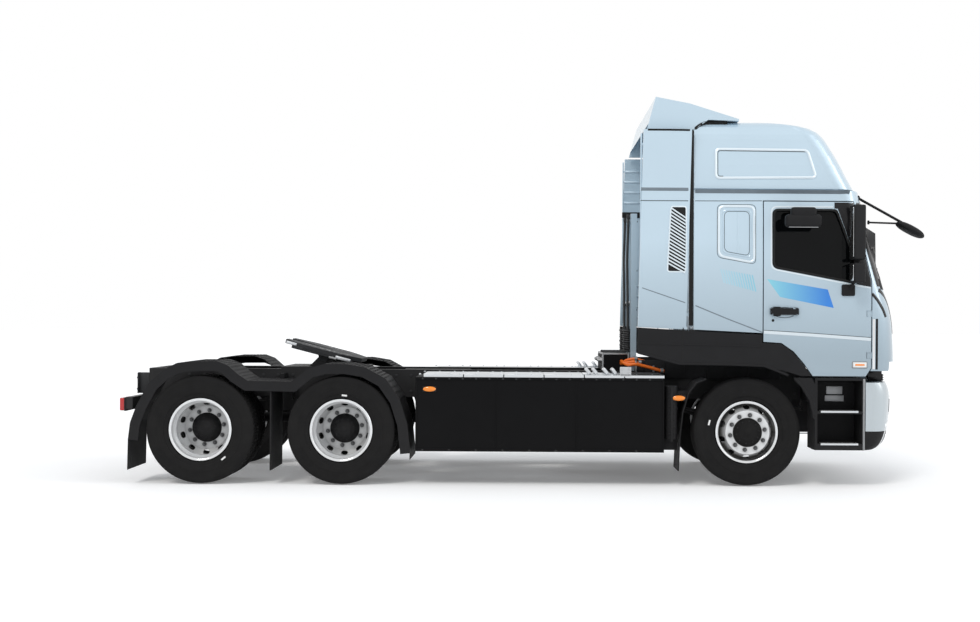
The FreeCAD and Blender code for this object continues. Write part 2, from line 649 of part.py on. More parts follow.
def bogie_spring():
    middle = back(s.wheelbase + s.tandem_gap / 2)
    low_y = -s.bogie_spring_y - s.bogie_spring_wide / 2
    high_y = -s.bogie_spring_y + s.bogie_spring_wide / 2
    low = s.wheel_z + s.axle_radius
    reach, rise, thick = s.bogie_reach, s.bogie_rise, s.bogie_thick
    points = [(middle - reach, low + 0.4 * thick),
              (middle - 0.5 * reach, low + 0.72 * rise + 0.4 * thick),
              (middle - 0.15 * reach, low + rise + 0.4 * thick),
              (middle + 0.15 * reach, low + rise + 0.4 * thick),
              (middle + 0.5 * reach, low + 0.72 * rise + 0.4 * thick),
              (middle + reach, low + 0.4 * thick),
              (middle + reach, low), (middle + 0.78 * reach, low),
              (middle + 0.2 * reach, low + rise - 0.6 * thick),
              (middle - 0.2 * reach, low + rise - 0.6 * thick), (middle - 0.78 * reach, low),
              (middle - reach, low)]
    leaves = prism("bogie_leaves", "XZ", points, low_y, high_y)
    block = box("trunnion_block", (middle - s.trunnion_radius, low_y, low + rise - 0.6 * thick),
                (middle + s.trunnion_radius, -s.rail_half, s.rail_top - s.rail_tall / 3))
    return joined("bogie_spring", leaves, block)


def leaf_springs():
    both_sides("leaf_springs", together("springs", front_spring(), bogie_spring()))


def drive_line():
    front = ahead(-s.motor_ahead)
    rear = front - s.motor_long
    motor = box("motor", (rear, -s.motor_half, s.motor_low), (front, s.motor_half, s.motor_top))
    gears = box("gears", (rear - s.gear_long, -s.gear_half, s.gear_low),
                (rear, s.gear_half, s.shaft_z + s.gear_half))
    rail_low = s.rail_top - s.rail_tall
    mounts = [box("motor_mount", (place, -s.rail_half + s.rail_web, rail_low + s.rail_web),
                  (place + s.cross_long, s.rail_half - s.rail_web, rail_low + s.rail_web + s.cross_long))
              for place in (rear + s.cross_long, front - 2 * s.cross_long)]
    axle_1, axle_2 = back(s.wheelbase), back(s.wheelbase + s.tandem_gap)
    nose = 0.8 * s.bowl_long
    start = axle_1 + nose
    shaft = drum("long_shaft", "X", s.shaft_radius, rear - s.gear_long - start, (start, zero, s.shaft_z))
    start = axle_2 + nose
    link = drum("short_shaft", "X", s.shaft_radius, axle_1 - nose - start, (start, zero, s.shaft_z))
    node("drive_line", together("motor_and_shafts", joined("motor_body", motor, gears, shaft, *mounts),
                                link))


def control_box():
    low_x = back(s.control_back)
    case = box("control_case", (low_x, -s.control_half, s.rail_top),
               (low_x + s.control_long, s.control_half, s.control_top))
    node("control_box", case)


def cable_path(side):
    """One stiff cable from the control box over the cross member and down to the motor."""
    start = Vector((back(s.control_back) + s.control_long).value, side,
                   s.rail_top.value + s.cable_rise.value)
    top = start + X * s.cable_reach.value
    foot = Vector(top.x, side, s.motor_top.value)
    bend = s.cable_rise.value
    corner = bend * math.sqrt(0.5)
    middle = Vector(top.x - bend + corner, side, top.z - bend + corner)
    edges = [Part.LineSegment(start, Vector(top.x - bend, side, top.z)).toShape(),
             Part.Arc(Vector(top.x - bend, side, top.z), middle,
                      Vector(top.x, side, top.z - bend)).toShape(),
             Part.LineSegment(Vector(top.x, side, top.z - bend), foot).toShape()]
    return Part.Wire(edges)


def power_cables():
    cables = []
    for step in (-1, 0, 1):
        path = cable_path(step * s.cable_gap.value)
        start = path.Vertexes[0].Point
        ring = Part.Wire(Part.makeCircle(s.cable_radius.value, start, X))
        cables.append(path.makePipeShell([ring], True, False))
    node("power_cables", feature("cables", Part.makeCompound(cables)))


def air_tanks():
    low = s.rail_top - s.rail_tall + s.rail_web
    tanks = [drum("tank", "X", s.tank_radius, s.tank_long, (back(s.tank_back), side * s.tank_y,
                                                            low + s.tank_radius))
             for side in (-0.6, 0.6)]
    cradle = box("tank_cradle", (back(s.tank_back) + s.tank_long / 3, -s.rail_half + s.rail_web, low),
                 (back(s.tank_back) + s.tank_long / 3 + s.hanger_wide, s.rail_half - s.rail_web,
                  low + s.tank_radius))
    node("air_tanks", joined("tanks", cradle, *tanks))


# Battery boxes

def battery_boxes():
    low_x, high_x = back(s.battery_back), back(s.battery_front)
    case = box("battery_case", (low_x, -s.battery_outer, s.battery_low),
               (high_x, -s.battery_inner, s.battery_top))
    both_sides("battery_boxes", case)
    covers = []
    for step in range(6):
        front = high_x - step * s.cover_pitch
        covers.append(box("cover", (front - s.cover_pitch + s.cover_gap, -s.battery_outer, s.battery_top),
                          (front, -s.battery_inner, s.battery_top + s.cover_thick)))
    both_sides("battery_covers", together("cover_row", *covers))


# Rear fenders and tail

def offset_points(points, gap):
    """The same open outline moved sideways by a gap, with mitred corners."""
    spots = [Vector(number(u), number(v), 0) for u, v in points]
    moved_spots = []
    for place, spot in enumerate(spots):
        before = spots[place] - spots[place - 1] if place else spots[1] - spots[0]
        after = spots[place + 1] - spot if place + 1 < len(spots) else before
        first = Vector(before.y, -before.x, 0).normalize()
        second = Vector(after.y, -after.x, 0).normalize()
        middle = (first + second).normalize()
        moved_spots.append(spot + middle * (gap / middle.dot(first)))
    return moved_spots


def bent_sheet(name, points, gap, low, high):
    """A sheet bent along an open outline in XZ, from low to high along Y."""
    first = [Vector(number(u), number(low), number(v)) for u, v in points]
    second = [Vector(spot.x, number(low), spot.y) for spot in offset_points(points, number(gap))]
    ring = Part.makePolygon(first + second[::-1] + [first[0]])
    return feature(name, Part.Face(ring).extrude(Y * (number(high) - number(low))))


def fenders():
    points = outlined(FENDER_SHARES, (back(s.fender_back), zero), (back(s.fender_front), s.fender_top))
    points[0] = (points[0][0], s.flap_low)
    skin = bent_sheet("fender_skin", points, s.sheet, -s.body_half, -s.fender_inner)
    deep = 8 * s.lip_thick
    lip = bent_sheet("fender_lip", points[1:-1], deep, -s.body_half, -s.body_half + s.lip_thick)
    middle = back(s.wheelbase + s.tandem_gap / 2)
    flap = box("middle_flap", (middle - s.flap_thick / 2, -s.body_half + s.lip_thick, s.flap_low),
               (middle + s.flap_thick / 2, -s.fender_inner, 0.82 * s.fender_top))
    level = s.rail_top - 2 * s.fender_stay
    stay = box("fender_stay", (middle - s.fender_stay / 2, -s.fender_inner, level),
               (middle + s.fender_stay / 2, -s.rail_half, level + s.fender_stay))
    post = box("fender_post", (middle - s.fender_stay / 2, -s.fender_inner - s.sheet,
                               0.75 * s.fender_top),
               (middle + s.fender_stay / 2, -s.fender_inner + s.sheet, level + s.fender_stay))
    both_sides("rear_fenders", joined("fender", skin, lip, flap, post, stay))


def tail():
    front = back(s.rail_back)
    rear = front - s.tail_bar_deep
    middle = s.lamp_low + s.lamp_tall / 2
    beam = box("tail_beam", (rear, -s.lamp_outer, s.lamp_low + s.lamp_tall / 6),
               (front, s.lamp_outer, s.lamp_low + s.lamp_tall))
    drop = box("tail_drop", (rear, -s.rail_half, s.lamp_low), (front, s.rail_half, s.rail_top))
    lamp = box("tail_lamp", (back(s.lamp_back), -s.lamp_outer, s.lamp_low),
               (rear, -s.lamp_inner, s.lamp_low + s.lamp_tall))
    both_sides("tail_lamps", lamp)
    plate = box("number_plate", (rear - s.sheet, -s.lamp_tall, middle),
                (rear, s.lamp_tall, middle + s.lamp_tall / 1.5))
    holes = [drum("tow_hole", "X", s.tow_hole_radius, s.tail_bar_deep * 2,
                  (rear - s.tail_bar_deep / 2, side * s.tow_hole_across / 2,
                   s.tow_hole_z + up * s.tow_hole_rise / 2))
             for side in (-1, 1) for up in (-1, 1)]
    node("tail_bar", cut("tail_bar_drilled", joined("tail_bar_body", beam, drop, plate), *holes))


# Fifth wheel

def fifth_wheel():
    base_low = s.rail_top
    middle = back(s.pivot_back)
    plate = box("base_plate", (middle - s.base_half_long, -s.rail_half, base_low),
                (middle + s.base_half_long, s.rail_half, base_low + s.base_thick))
    lug_low = s.pivot_lug_y - s.pivot_lug_wide / 2
    lug_high = s.pivot_lug_y + s.pivot_lug_wide / 2
    foot = base_low + s.base_thick
    top = s.pivot_z + 1.2 * s.pivot_pin_radius
    lug = prism("pivot_lug", "XZ", [(middle - s.stand_half_long, foot),
                                    (middle + s.stand_half_long, foot),
                                    (middle + 1.4 * s.pivot_pin_radius, top),
                                    (middle - 1.4 * s.pivot_pin_radius, top)],
                -lug_high, -lug_low)
    bore = drum("pivot_bore", "Y", s.pivot_pin_radius + s.run_gap, 2 * s.body_half,
                (middle, -s.body_half, s.pivot_z))
    blank = joined("base_blank", plate, lug, mirrored("lug_far", lug))
    node("fifth_wheel_base", cut("base", blank, bore))

    top_plate = fifth_plate(lug_low, lug_high)
    holder = together("tilted_plate", top_plate)
    holder.Placement = Placement(Vector(), Rotation(Y, s.plate_tilt.value))
    tie(holder, Placement__Rotation__Angle=s.plate_tilt)
    node("fifth_wheel_plate", placed(holder, (middle, zero, s.pivot_z)))


def fifth_plate(lug_low, lug_high):
    """The coupling plate about its own pivot, level, with the throat open to the rear."""
    top = s.plate_above
    rear, front, half = s.plate_rear, s.plate_front, s.plate_half
    throat, pin, thick = s.kingpin_bore / 2, s.pivot_pin_radius, s.plate_thick
    points = [(-rear, -0.62 * half), (-0.5 * rear, -half), (0.45 * front, -half), (front, -0.55 * half),
              (front, 0.55 * half), (0.45 * front, half), (-0.5 * rear, half), (-rear, 0.62 * half),
              (-rear, 4.4 * throat)]
    points += [(u * throat, v * throat) for u, v in MOUTH_SHARES] + [(-rear, -4.4 * throat)]
    plate = prism("coupling_plate", "XY", points, top - thick, top)
    ears = []
    for low, high in ((lug_high + s.panel_gap, lug_high + s.panel_gap + s.pivot_lug_wide / 2),
                      (lug_low - s.panel_gap - s.pivot_lug_wide / 2, lug_low - s.panel_gap)):
        ears.append(prism("pivot_ear", "XZ", [(-3 * pin, top - thick), (-1.4 * pin, -1.3 * pin),
                                              (1.4 * pin, -1.3 * pin), (3 * pin, top - thick)],
                          -high, -low))
    pin_long = lug_high - lug_low + 2 * s.panel_gap + s.pivot_lug_wide
    bolt = drum("pivot_pin", "Y", pin, pin_long,
               (zero, -lug_high - s.panel_gap - s.pivot_lug_wide / 2, zero))
    right = joined("pivot_side", *ears, bolt)
    return joined("plate_whole", plate, right, mirrored("pivot_side_far", right))


# Bumper, lamps and steps

def plan_wire(front, half, level, rear, corner):
    """One level of a wrapped front: a cubed ellipse ahead, straight sides and a straight rear."""
    steps = 12
    power_share = 2 / 3
    points = []
    for step in range(steps + 1):
        turn = math.pi * (step / steps - 0.5)
        side = half * math.copysign(abs(math.sin(turn)) ** power_share, turn)
        reach = front - corner + corner * max(math.cos(turn), 0) ** power_share
        points.append(Vector(reach, side, level))
    curve = Part.BSplineCurve()
    curve.interpolate(points)
    rear_right, rear_left = Vector(rear, -half, level), Vector(rear, half, level)
    lines = [Part.LineSegment(points[-1], rear_left), Part.LineSegment(rear_left, rear_right),
             Part.LineSegment(rear_right, points[0])]
    return Part.Wire([curve.toShape()] + [line.toShape() for line in lines])


def wrapped(name, shares, low, tall, rear, long, half, corner, depth, straight=False):
    """A solid whose front and corners are curved in plan, set inwards by depth.

    Between two rows its surface is smooth, or straight where the rows are close.
    """
    rows = []
    for rise, reach, width in shares:
        level = (low + rise * tall).value
        front = (rear + reach * long - depth).value
        rows.append(plan_wire(front, (width * half - depth).value, level, (rear + depth).value,
                              corner.value))
    return feature(name, Part.makeLoft(rows, True, straight))


def bumper_solid(name, depth):
    rear = ahead(zero)
    return wrapped(name, BUMPER_SHARES, s.bumper_low, s.bumper_top - s.bumper_low, rear, s.bumper_ahead,
                   s.body_half, s.bumper_corner, depth)


def bumper():
    outer = bumper_solid("bumper_outer", zero)
    inner = bumper_solid("bumper_inner", s.bumper_wall)
    keep = box("bumper_keep", (ahead(s.bumper_back), -s.body_half - s.overrun, s.bumper_low - s.overrun),
               (ahead(s.bumper_ahead + s.overrun), s.body_half + s.overrun, s.bumper_top + s.overrun))
    wrap = common("bumper_wrap", cut("bumper_ring", outer, inner), keep)
    below = box("below_seam", (ahead(zero), -s.body_half - s.overrun, s.bumper_low - s.overrun),
                (ahead(s.bumper_ahead + s.overrun), s.body_half + s.overrun, s.bumper_seam))
    lamp = box("headlamp_space", (ahead(s.bumper_back), -s.headlamp_outer, s.headlamp_low),
               (ahead(s.bumper_ahead + s.overrun), -s.headlamp_inner, s.headlamp_low + s.headlamp_tall))
    far = mirrored("headlamp_space_far", lamp)
    web = box("bumper_beam", (ahead(s.rail_ahead), -s.rail_half, s.rail_top - s.rail_tall),
              (ahead(s.bumper_ahead - s.bumper_wall * 0.75), s.rail_half,
               s.rail_top - s.rail_tall + s.cross_long))
    node("bumper", joined("bumper_body", cut("bumper_upper", wrap, below, lamp, far), web))
    node("bumper_valance", cut("valance", common("valance_blank", wrap, below), web))
    lens = cut("lens_skin", bumper_solid("lens_outer", s.sheet),
               bumper_solid("lens_inner", s.bumper_wall))
    small = box("lens_keep", (ahead(s.bumper_back), -s.headlamp_outer + s.run_gap,
                              s.headlamp_low + s.run_gap),
                (ahead(s.bumper_ahead + s.overrun), -s.headlamp_inner - s.run_gap,
                 s.headlamp_low + s.headlamp_tall - s.run_gap))
    both_sides("headlamps", common("lens", lens, small))


def steps():
    outer, inner, wall = s.body_half - s.sheet, s.step_inner, s.step_wall
    rear, front = ahead(s.step_back), ahead(s.step_front)
    walls = [box("step_rear_wall", (rear, -outer, s.step_low), (rear + wall, -inner, s.step_top)),
             box("step_front_wall", (front - wall, -outer, s.step_low), (front, -inner, s.step_top)),
             box("step_inner_wall", (rear, -inner - wall, s.step_low), (front, -inner, s.step_top)),
             box("step_roof", (rear, -outer, s.step_top - wall), (front, -inner, s.step_top)),
             box("step_sill", (rear, -outer, s.step_low), (front, -outer + wall, s.tread_low))]
    for level in (s.tread_high, s.tread_low):
        walls.append(box("tread", (rear, -outer, level - s.tread_thick), (front, -inner, level)))
    arm = box("step_arm", (rear + wall, -inner, s.rail_top - s.rail_tall),
              (rear + wall + s.cross_long, -s.rail_half, s.rail_top - s.rail_tall / 2))
    level = 0.92 * s.step_top
    flare = prism("arch_flare", "XZ", [(rear - 8.3 * wall, s.step_top), (rear - 1.3 * wall, s.step_top),
                                       (rear + wall / 2, level), (rear + wall / 2, s.step_top * 0.61),
                                       (rear - 0.67 * wall, s.step_top * 0.64),
                                       (rear - 2.33 * wall, s.step_top * 0.793),
                                       (rear - 5.67 * wall, level),
                                       (rear - 8.3 * wall, s.step_top * 0.98)],
                  -outer, -outer + wall)
    both_sides("steps", joined("step_well", *walls, arm, flare))


def front_mudguards():
    curve = outlined(((0.0, 0.14), (0.02, 0.45), (0.06, 0.68), (0.14, 0.85), (0.26, 0.95), (0.40, 0.985)),
                     (back(s.guard_back + s.guard_thick), zero), (ahead(zero), s.step_top))
    skin = bent_sheet("guard_skin", curve, s.guard_thick, -s.guard_outer, -s.guard_inner)
    tank = drum("guard_cylinder", "Z", s.guard_tank_radius, s.guard_tank_tall,
                (back(s.guard_tank_back), -s.guard_outer + s.guard_tank_radius, s.guard_tank_low))
    arm = box("guard_arm", (back(s.guard_tank_back + s.guard_tank_radius),
                            -s.guard_outer + s.guard_tank_radius,
                            s.guard_tank_low + s.guard_tank_tall * 0.75),
              (back(s.guard_back - s.guard_tank_radius * 1.4), -s.rail_half,
               s.guard_tank_low + s.guard_tank_tall * 0.9))
    both_sides("front_mudguards", joined("guard", skin, tank, arm))


# Cab

def cab_solid(name, depth):
    return wrapped(name, CAB_SHARES, s.cab_low, s.cab_tall, back(s.cab_back), s.cab_long, s.cab_half,
                   s.cab_corner, depth)


def roof_solid(name, depth):
    return wrapped(name, ROOF_SHARES, s.roof_low - depth * 0.1, s.roof_tall, back(s.cab_back), s.cab_long,
                   s.cab_half, s.cab_corner, depth, True)


def side_prism(name, points, rounds=()):
    """A side outline carried right through the cab."""
    return prism(name, "XZ", points, -s.body_half - s.overrun, s.body_half + s.overrun, rounds)


def right_half():
    far = s.cab_long * 2
    return box("right_half", (back(far), -s.body_half * 2, zero), (ahead(far), zero - s.overrun, far * 2))


def door_outline():
    return outlined(DOOR_SHARES, (ahead(s.door_back_ahead), s.door_sill), (ahead(door_front), s.door_top))


def window_outline():
    rear, front = ahead(s.window_back_ahead), ahead(window_front)
    high = 0.82 * window_front
    return [(rear, s.window_rear_sill), (front, s.window_front_sill),
            (front, s.window_front_sill + s.dash_deep / 2),
            (ahead(high), s.window_top), (rear, s.window_top)]


def cab_shell(outer, inner, hole, screen, skirt, lid_rooms):
    far = s.cab_long
    floor_room = box("below_floor", (back(s.cab_back + s.overrun), -s.cab_half + s.cab_wall,
                                     s.cab_low - s.overrun),
                     (ahead(far), s.cab_half - s.cab_wall, s.floor_z))
    floor = common("floor_pan", cab_solid("floor_outer", s.cab_wall - s.sheet),
                   box("floor_keep", (back(s.cab_back + s.overrun), -s.body_half, s.floor_z),
                       (ahead(far), s.body_half, s.floor_z + s.floor_thick)))
    sill = box("below_front", (ahead(door_front - s.overrun), -s.body_half * 1.5, s.cab_low - s.overrun),
               (ahead(far), s.body_half * 1.5, s.front_black_low))
    core = cab_solid("door_clear", s.cab_wall + 2 * s.panel_gap)
    sides = cut("door_openings", hole, core)
    ring = cut("cab_ring", outer, inner)
    shell = cut("cab_opened", ring, floor_room, screen, skirt, sill, lid_space(outer), *lid_rooms)
    arm = box("tilt_arm", (ahead(tilt_ahead - s.tilt_arm_radius / 2), -s.tilt_arm_y - s.tilt_arm_wide / 2,
                           s.tilt_z),
              (ahead(tilt_ahead + s.tilt_arm_radius / 2), -s.tilt_arm_y + s.tilt_arm_wide / 2,
               s.floor_z + s.floor_thick / 2))
    eye = drum("tilt_eye", "Y", s.tilt_arm_radius, s.tilt_arm_wide,
               (ahead(tilt_ahead), -s.tilt_arm_y - s.tilt_arm_wide / 2, s.tilt_z))
    bore = drum("tilt_bore", "Y", s.tilt_pin_radius + s.run_gap, s.body_half * 2,
                (ahead(tilt_ahead), -s.body_half, s.tilt_z))
    arms = joined("tilt_arms", arm, eye)
    whole = joined("cab_body", shell, floor, arms, mirrored("tilt_arms_far", arms))
    node("cab_shell", cut("cab_shell_bored", whole, sides, bore))


def cab():
    outer, inner = cab_solid("cab_outer", zero), cab_solid("cab_inner", s.cab_wall)
    door = side_prism("door_prism", door_outline())
    window = side_prism("window_prism", window_outline(), [((0, 4), s.mirror_round)])
    screen_points = [(-s.screen_half, s.screen_low), (s.screen_half, s.screen_low),
                     (0.95 * s.screen_half, s.screen_top), (-0.95 * s.screen_half, s.screen_top)]
    screen = prism("screen_prism", "YZ", screen_points, ahead(0.5 * tilt_ahead), ahead(s.cab_long),
                   [((0, 1, 2, 3), s.screen_round)])
    skirt_room = side_prism("skirt_room", [(back(s.cab_back + s.overrun), s.cab_low - s.overrun),
                                           (ahead(door_front * 0.65), s.cab_low - s.overrun),
                                           (ahead(door_front * 0.65), s.floor_z + s.overrun),
                                           (ahead(door_front * 0.25), s.side_low - 1.4 * s.overrun),
                                           (ahead(s.door_back_ahead), s.side_low - 1.4 * s.overrun),
                                           (back(s.cab_back + s.overrun), s.side_low - 0.6 * s.overrun)])
    hole = grown("door_hole", door, s.panel_gap)
    lid_tabs, lid_rooms = lid_hinge()
    cab_shell(outer, inner, hole, screen, skirt_room, lid_rooms)
    skirts(hole)
    doors(outer, inner, door, window)
    glass_outer = cab_solid("glass_outer", s.glass_in)
    glass_inner = cab_solid("glass_inner", s.glass_in + s.glass_thick)
    glass = cut("glass_layer", glass_outer, glass_inner)
    node("windscreen", common("windscreen_glass", glass, screen))
    pane = common("door_pane", common("door_pane_both", glass, window), right_half())
    pair("door_glass", pane)
    front_lid(outer, lid_tabs)
    high_roof()


def doors(outer, inner, door, window):
    ring = cut("door_ring", outer, inner)
    panel = common("door_both", ring, door)
    right = common("door_right_panel", panel, right_half())
    axis_x, axis_y = ahead(door_front - s.hinge_back), -s.cab_half + s.hinge_in
    leaves, rooms = [], []
    for low in (s.hinge_low, s.hinge_high):
        leaf = box("hinge_leaf", (axis_x - s.hinge_leaf / 2, axis_y - s.hinge_leaf / 2, low),
                   (ahead(door_front + s.panel_gap), axis_y + s.hinge_leaf / 2, low + s.hinge_tall))
        spread = (s.hinge_pin_long - s.hinge_tall) / 2
        pin = drum("hinge_pin", "Z", s.hinge_pin_radius, s.hinge_pin_long, (axis_x, axis_y, low - spread))
        leaves.append(joined("hinge", leaf, pin))
        room = box("hinge_room", (axis_x - s.hinge_leaf, -s.body_half - s.overrun, low - s.run_gap),
                   (ahead(door_front + s.panel_gap), axis_y + s.hinge_leaf,
                    low + s.hinge_tall + s.run_gap))
        bore = drum("hinge_bore", "Z", s.hinge_pin_radius + s.run_gap, s.hinge_pin_long + 2 * s.run_gap,
                    (axis_x, axis_y, low - spread - s.run_gap))
        rooms += [room, bore]
    both_sides("door_hinges", together("hinges", *leaves))
    low = (ahead(s.handle_ahead), -s.cab_half - s.handle_out, s.handle_z)
    high = (ahead(s.handle_ahead) + s.handle_long, -s.cab_half + s.sheet, s.handle_z + s.handle_tall)
    handle = box("door_handle", low, high)
    pair("door", joined("door_panel", cut("door_window", right, window, *rooms), handle))


def roof_notch(name, wall):
    """The slanted rear top corner where the roof deflector sits down, grown by a wall."""
    rear, top = back(s.cab_back + s.overrun), s.roof_low + s.roof_tall + s.overrun
    foot = s.wing_low - s.wing_seal - wall
    return side_prism(name, [(rear, foot), (back(s.cab_back - s.panel_gap) + wall / 2, foot),
                             (back(0.39 * s.wing_back) + wall, top - s.overrun),
                             (back(0.39 * s.wing_back) + wall, top),
                             (rear, top)])


def high_roof():
    outer, inner = roof_solid("roof_outer", zero), roof_solid("roof_inner", s.roof_wall)
    room = box("roof_room", (back(s.cab_back * 2), -s.body_half, s.roof_low - s.overrun),
               (ahead(s.cab_long), s.body_half, s.roof_low + s.roof_tall - s.roof_wall))
    notch = roof_notch("roof_notch", zero)
    hollow = cut("roof_room_notched", common("roof_hollow", inner, room),
                 roof_notch("roof_notch_inner", s.roof_wall))
    band = wrapped("seam_band", ((0.0, 0.828, 0.975), (1.0, 0.809, 0.972)), s.cab_low + s.cab_tall,
                   s.roof_low - s.cab_low - s.cab_tall, back(s.cab_back), s.cab_long, s.cab_half,
                   s.cab_corner, s.seam_in)
    band_inner = wrapped("seam_inner", ((0.0, 0.828, 0.975), (1.0, 0.809, 0.972)), s.cab_low + s.cab_tall,
                         s.roof_low - s.cab_low - s.cab_tall, back(s.cab_back), s.cab_long, s.cab_half,
                         s.cab_corner, s.cab_wall)
    node("high_roof", joined("roof_body", cut("roof_skin", outer, notch, hollow),
                             cut("seam_ring", band, band_inner)))


def skirts(hole):
    """Black lower panels behind the door that also frame the wheel arch."""
    rear = back(s.side_back)
    step = s.door_back_ahead
    points = [(rear, s.side_low - s.panel_gap), (back(s.cab_back), s.side_low - s.overrun),
              (ahead(step - 2 * s.panel_gap), s.side_low - 1.75 * s.overrun),
              (ahead(3 * step), 1.35 * s.cab_low),
              (ahead(4.7 * step), 1.08 * s.cab_low), (ahead(4.7 * step), s.cab_low),
              (ahead(3.6 * step), s.cab_low),
              (ahead(2.6 * step), 1.04 * s.cab_low), (ahead(1.16 * step), 1.08 * s.cab_low),
              (back(1.34 * step), 1.09 * s.cab_low), (back(4.8 * step), 1.093 * s.cab_low),
              (rear, 1.19 * s.cab_low)]
    low = -s.body_half + s.skirt_in - s.sheet
    blank = prism("skirt_blank", "XZ", points, low, low + s.skirt_thick)
    rib = box("skirt_rib", (back(s.cab_back - s.overrun), low + s.skirt_thick, 1.1 * s.cab_low),
              (back(s.cab_back - 3 * s.overrun), low + s.skirt_thick + 2 * s.overrun, s.floor_z))
    both_sides("cab_skirts", joined("skirt", cut("skirt_panel", blank, hole), rib))


def deflectors():
    rear, front = back(s.side_back), back(s.side_front)
    low_y, high_y = -s.body_half + s.side_in, -s.body_half + s.side_in + s.side_thick
    lean = s.side_thick + s.panel_gap
    points = [(rear, s.side_low), (front - lean / 2, s.side_low), (front + lean / 2, s.side_top),
              (rear + lean, s.side_top)]
    panel = prism("side_panel", "XZ", points, low_y, high_y)
    vent = prism("vent_hole", "XZ", [(back(s.vent_back), s.vent_low), (back(s.vent_front), s.vent_low),
                                     (back(s.vent_front), s.vent_top),
                                     (back(s.vent_back) + lean, s.vent_top)],
                 low_y - s.overrun, high_y + s.overrun)
    slats = []
    pitch = (s.vent_top - s.vent_low) / s.vent_slats
    for step in range(1, s.vent_slats.value):
        level = s.vent_low + step * pitch
        slats.append(prism("slat", "XZ", [(back(s.vent_back) - s.sheet, level - s.slat_rise),
                                          (back(s.vent_front) + s.sheet, level),
                                          (back(s.vent_front) + s.sheet, level + s.slat_tall),
                                          (back(s.vent_back) - s.sheet,
                                           level + s.slat_tall - s.slat_rise)],
                           low_y + s.sheet, high_y - s.sheet))
    arms = [box("side_arm", (back(s.cab_back + s.side_thick * 6), high_y - s.sheet, level),
                (back(s.cab_back), high_y + s.side_thick, level + s.side_thick))
            for level in (s.side_low + 3 * s.side_thick, s.side_top - 12 * s.side_thick)]
    both_sides("side_deflectors", joined("side_deflector", cut("vented_panel", panel, vent), *slats,
                                         *arms))

    wing_points = outlined(WING_SHARES, (back(s.wing_back), s.wing_low), (back(s.wing_front), s.wing_top))
    wing = prism("wing_blank", "XZ", wing_points, -s.wing_half, s.wing_half)
    room_low = back(s.wing_back + s.overrun)
    room = prism("wing_room", "XZ", [(room_low, s.wing_low - s.overrun),
                                     (room_low + 0.15 * s.wing_back, s.wing_top - 0.16 * s.side_front),
                                     (back(0.65 * s.wing_back), s.wing_top - 0.2 * s.side_front),
                                     (back(0.53 * s.wing_back), s.wing_low + s.wing_wall),
                                     (back(0.55 * s.wing_back), s.wing_low - s.overrun)],
                 -s.wing_half + s.wing_wall, s.wing_half - s.wing_wall)
    node("roof_deflector", cut("wing", wing, room))


def lid_prism(name, gap):
    """Front outline of the service lid, grown by a gap."""
    half = s.lid_half + gap
    points = [(-half, s.lid_low - gap), (half, s.lid_low - gap), (half, s.lid_top + gap),
              (-half, s.lid_top + gap)]
    return prism(name, "YZ", points, ahead(tilt_ahead), ahead(s.cab_long))


def lid_space(outer):
    """The shallow recess in the cab's front that the lid lies in."""
    layer = cut("lid_recess_layer", outer, cab_solid("lid_recess_floor", s.lid_thick + s.run_gap))
    return common("lid_recess", layer, lid_prism("lid_recess_prism", s.panel_gap))


def lid_hinge():
    """The two tabs with their pins, and the pockets and bores that they turn in."""
    axis_x, axis_z = ahead(cab_front - s.lid_hinge_in), s.lid_top + s.lid_hinge_rise
    tabs, rooms = [], []
    for side in (-1, 1):
        start = side * s.lid_tab_y - s.lid_tab_wide / 2
        low = s.lid_top - 2 * s.lid_tab_thick
        tab = box("lid_tab", (axis_x - s.lid_tab_thick / 2, start, low),
                  (axis_x + s.lid_tab_thick / 2, start + s.lid_tab_wide, axis_z + s.lid_tab_thick / 2))
        pin_long = s.lid_tab_wide + 2 * s.lid_pin_reach
        pin = drum("lid_pin", "Y", s.hinge_pin_radius, pin_long,
                   (axis_x, start - s.lid_pin_reach, axis_z))
        tabs.append(joined("lid_knuckle", tab, pin))
        side_room = s.panel_gap / 2
        room = box("lid_pocket", (axis_x - s.lid_tab_thick, start - side_room, low - s.panel_gap),
                   (ahead(s.cab_long), start + s.lid_tab_wide + side_room, axis_z + s.lid_tab_thick))
        bore = drum("lid_bore", "Y", s.hinge_pin_radius + s.run_gap, pin_long + 2 * s.run_gap,
                    (axis_x, start - s.lid_pin_reach - s.run_gap, axis_z))
        rooms += [room, bore]
    return tabs, rooms


def front_lid(outer, tabs):
    layer = cut("lid_layer", outer, cab_solid("lid_floor", s.lid_thick))
    node("front_lid", joined("lid_body", common("lid_panel", layer, lid_prism("lid_prism", zero)), *tabs))


# Inside the cab

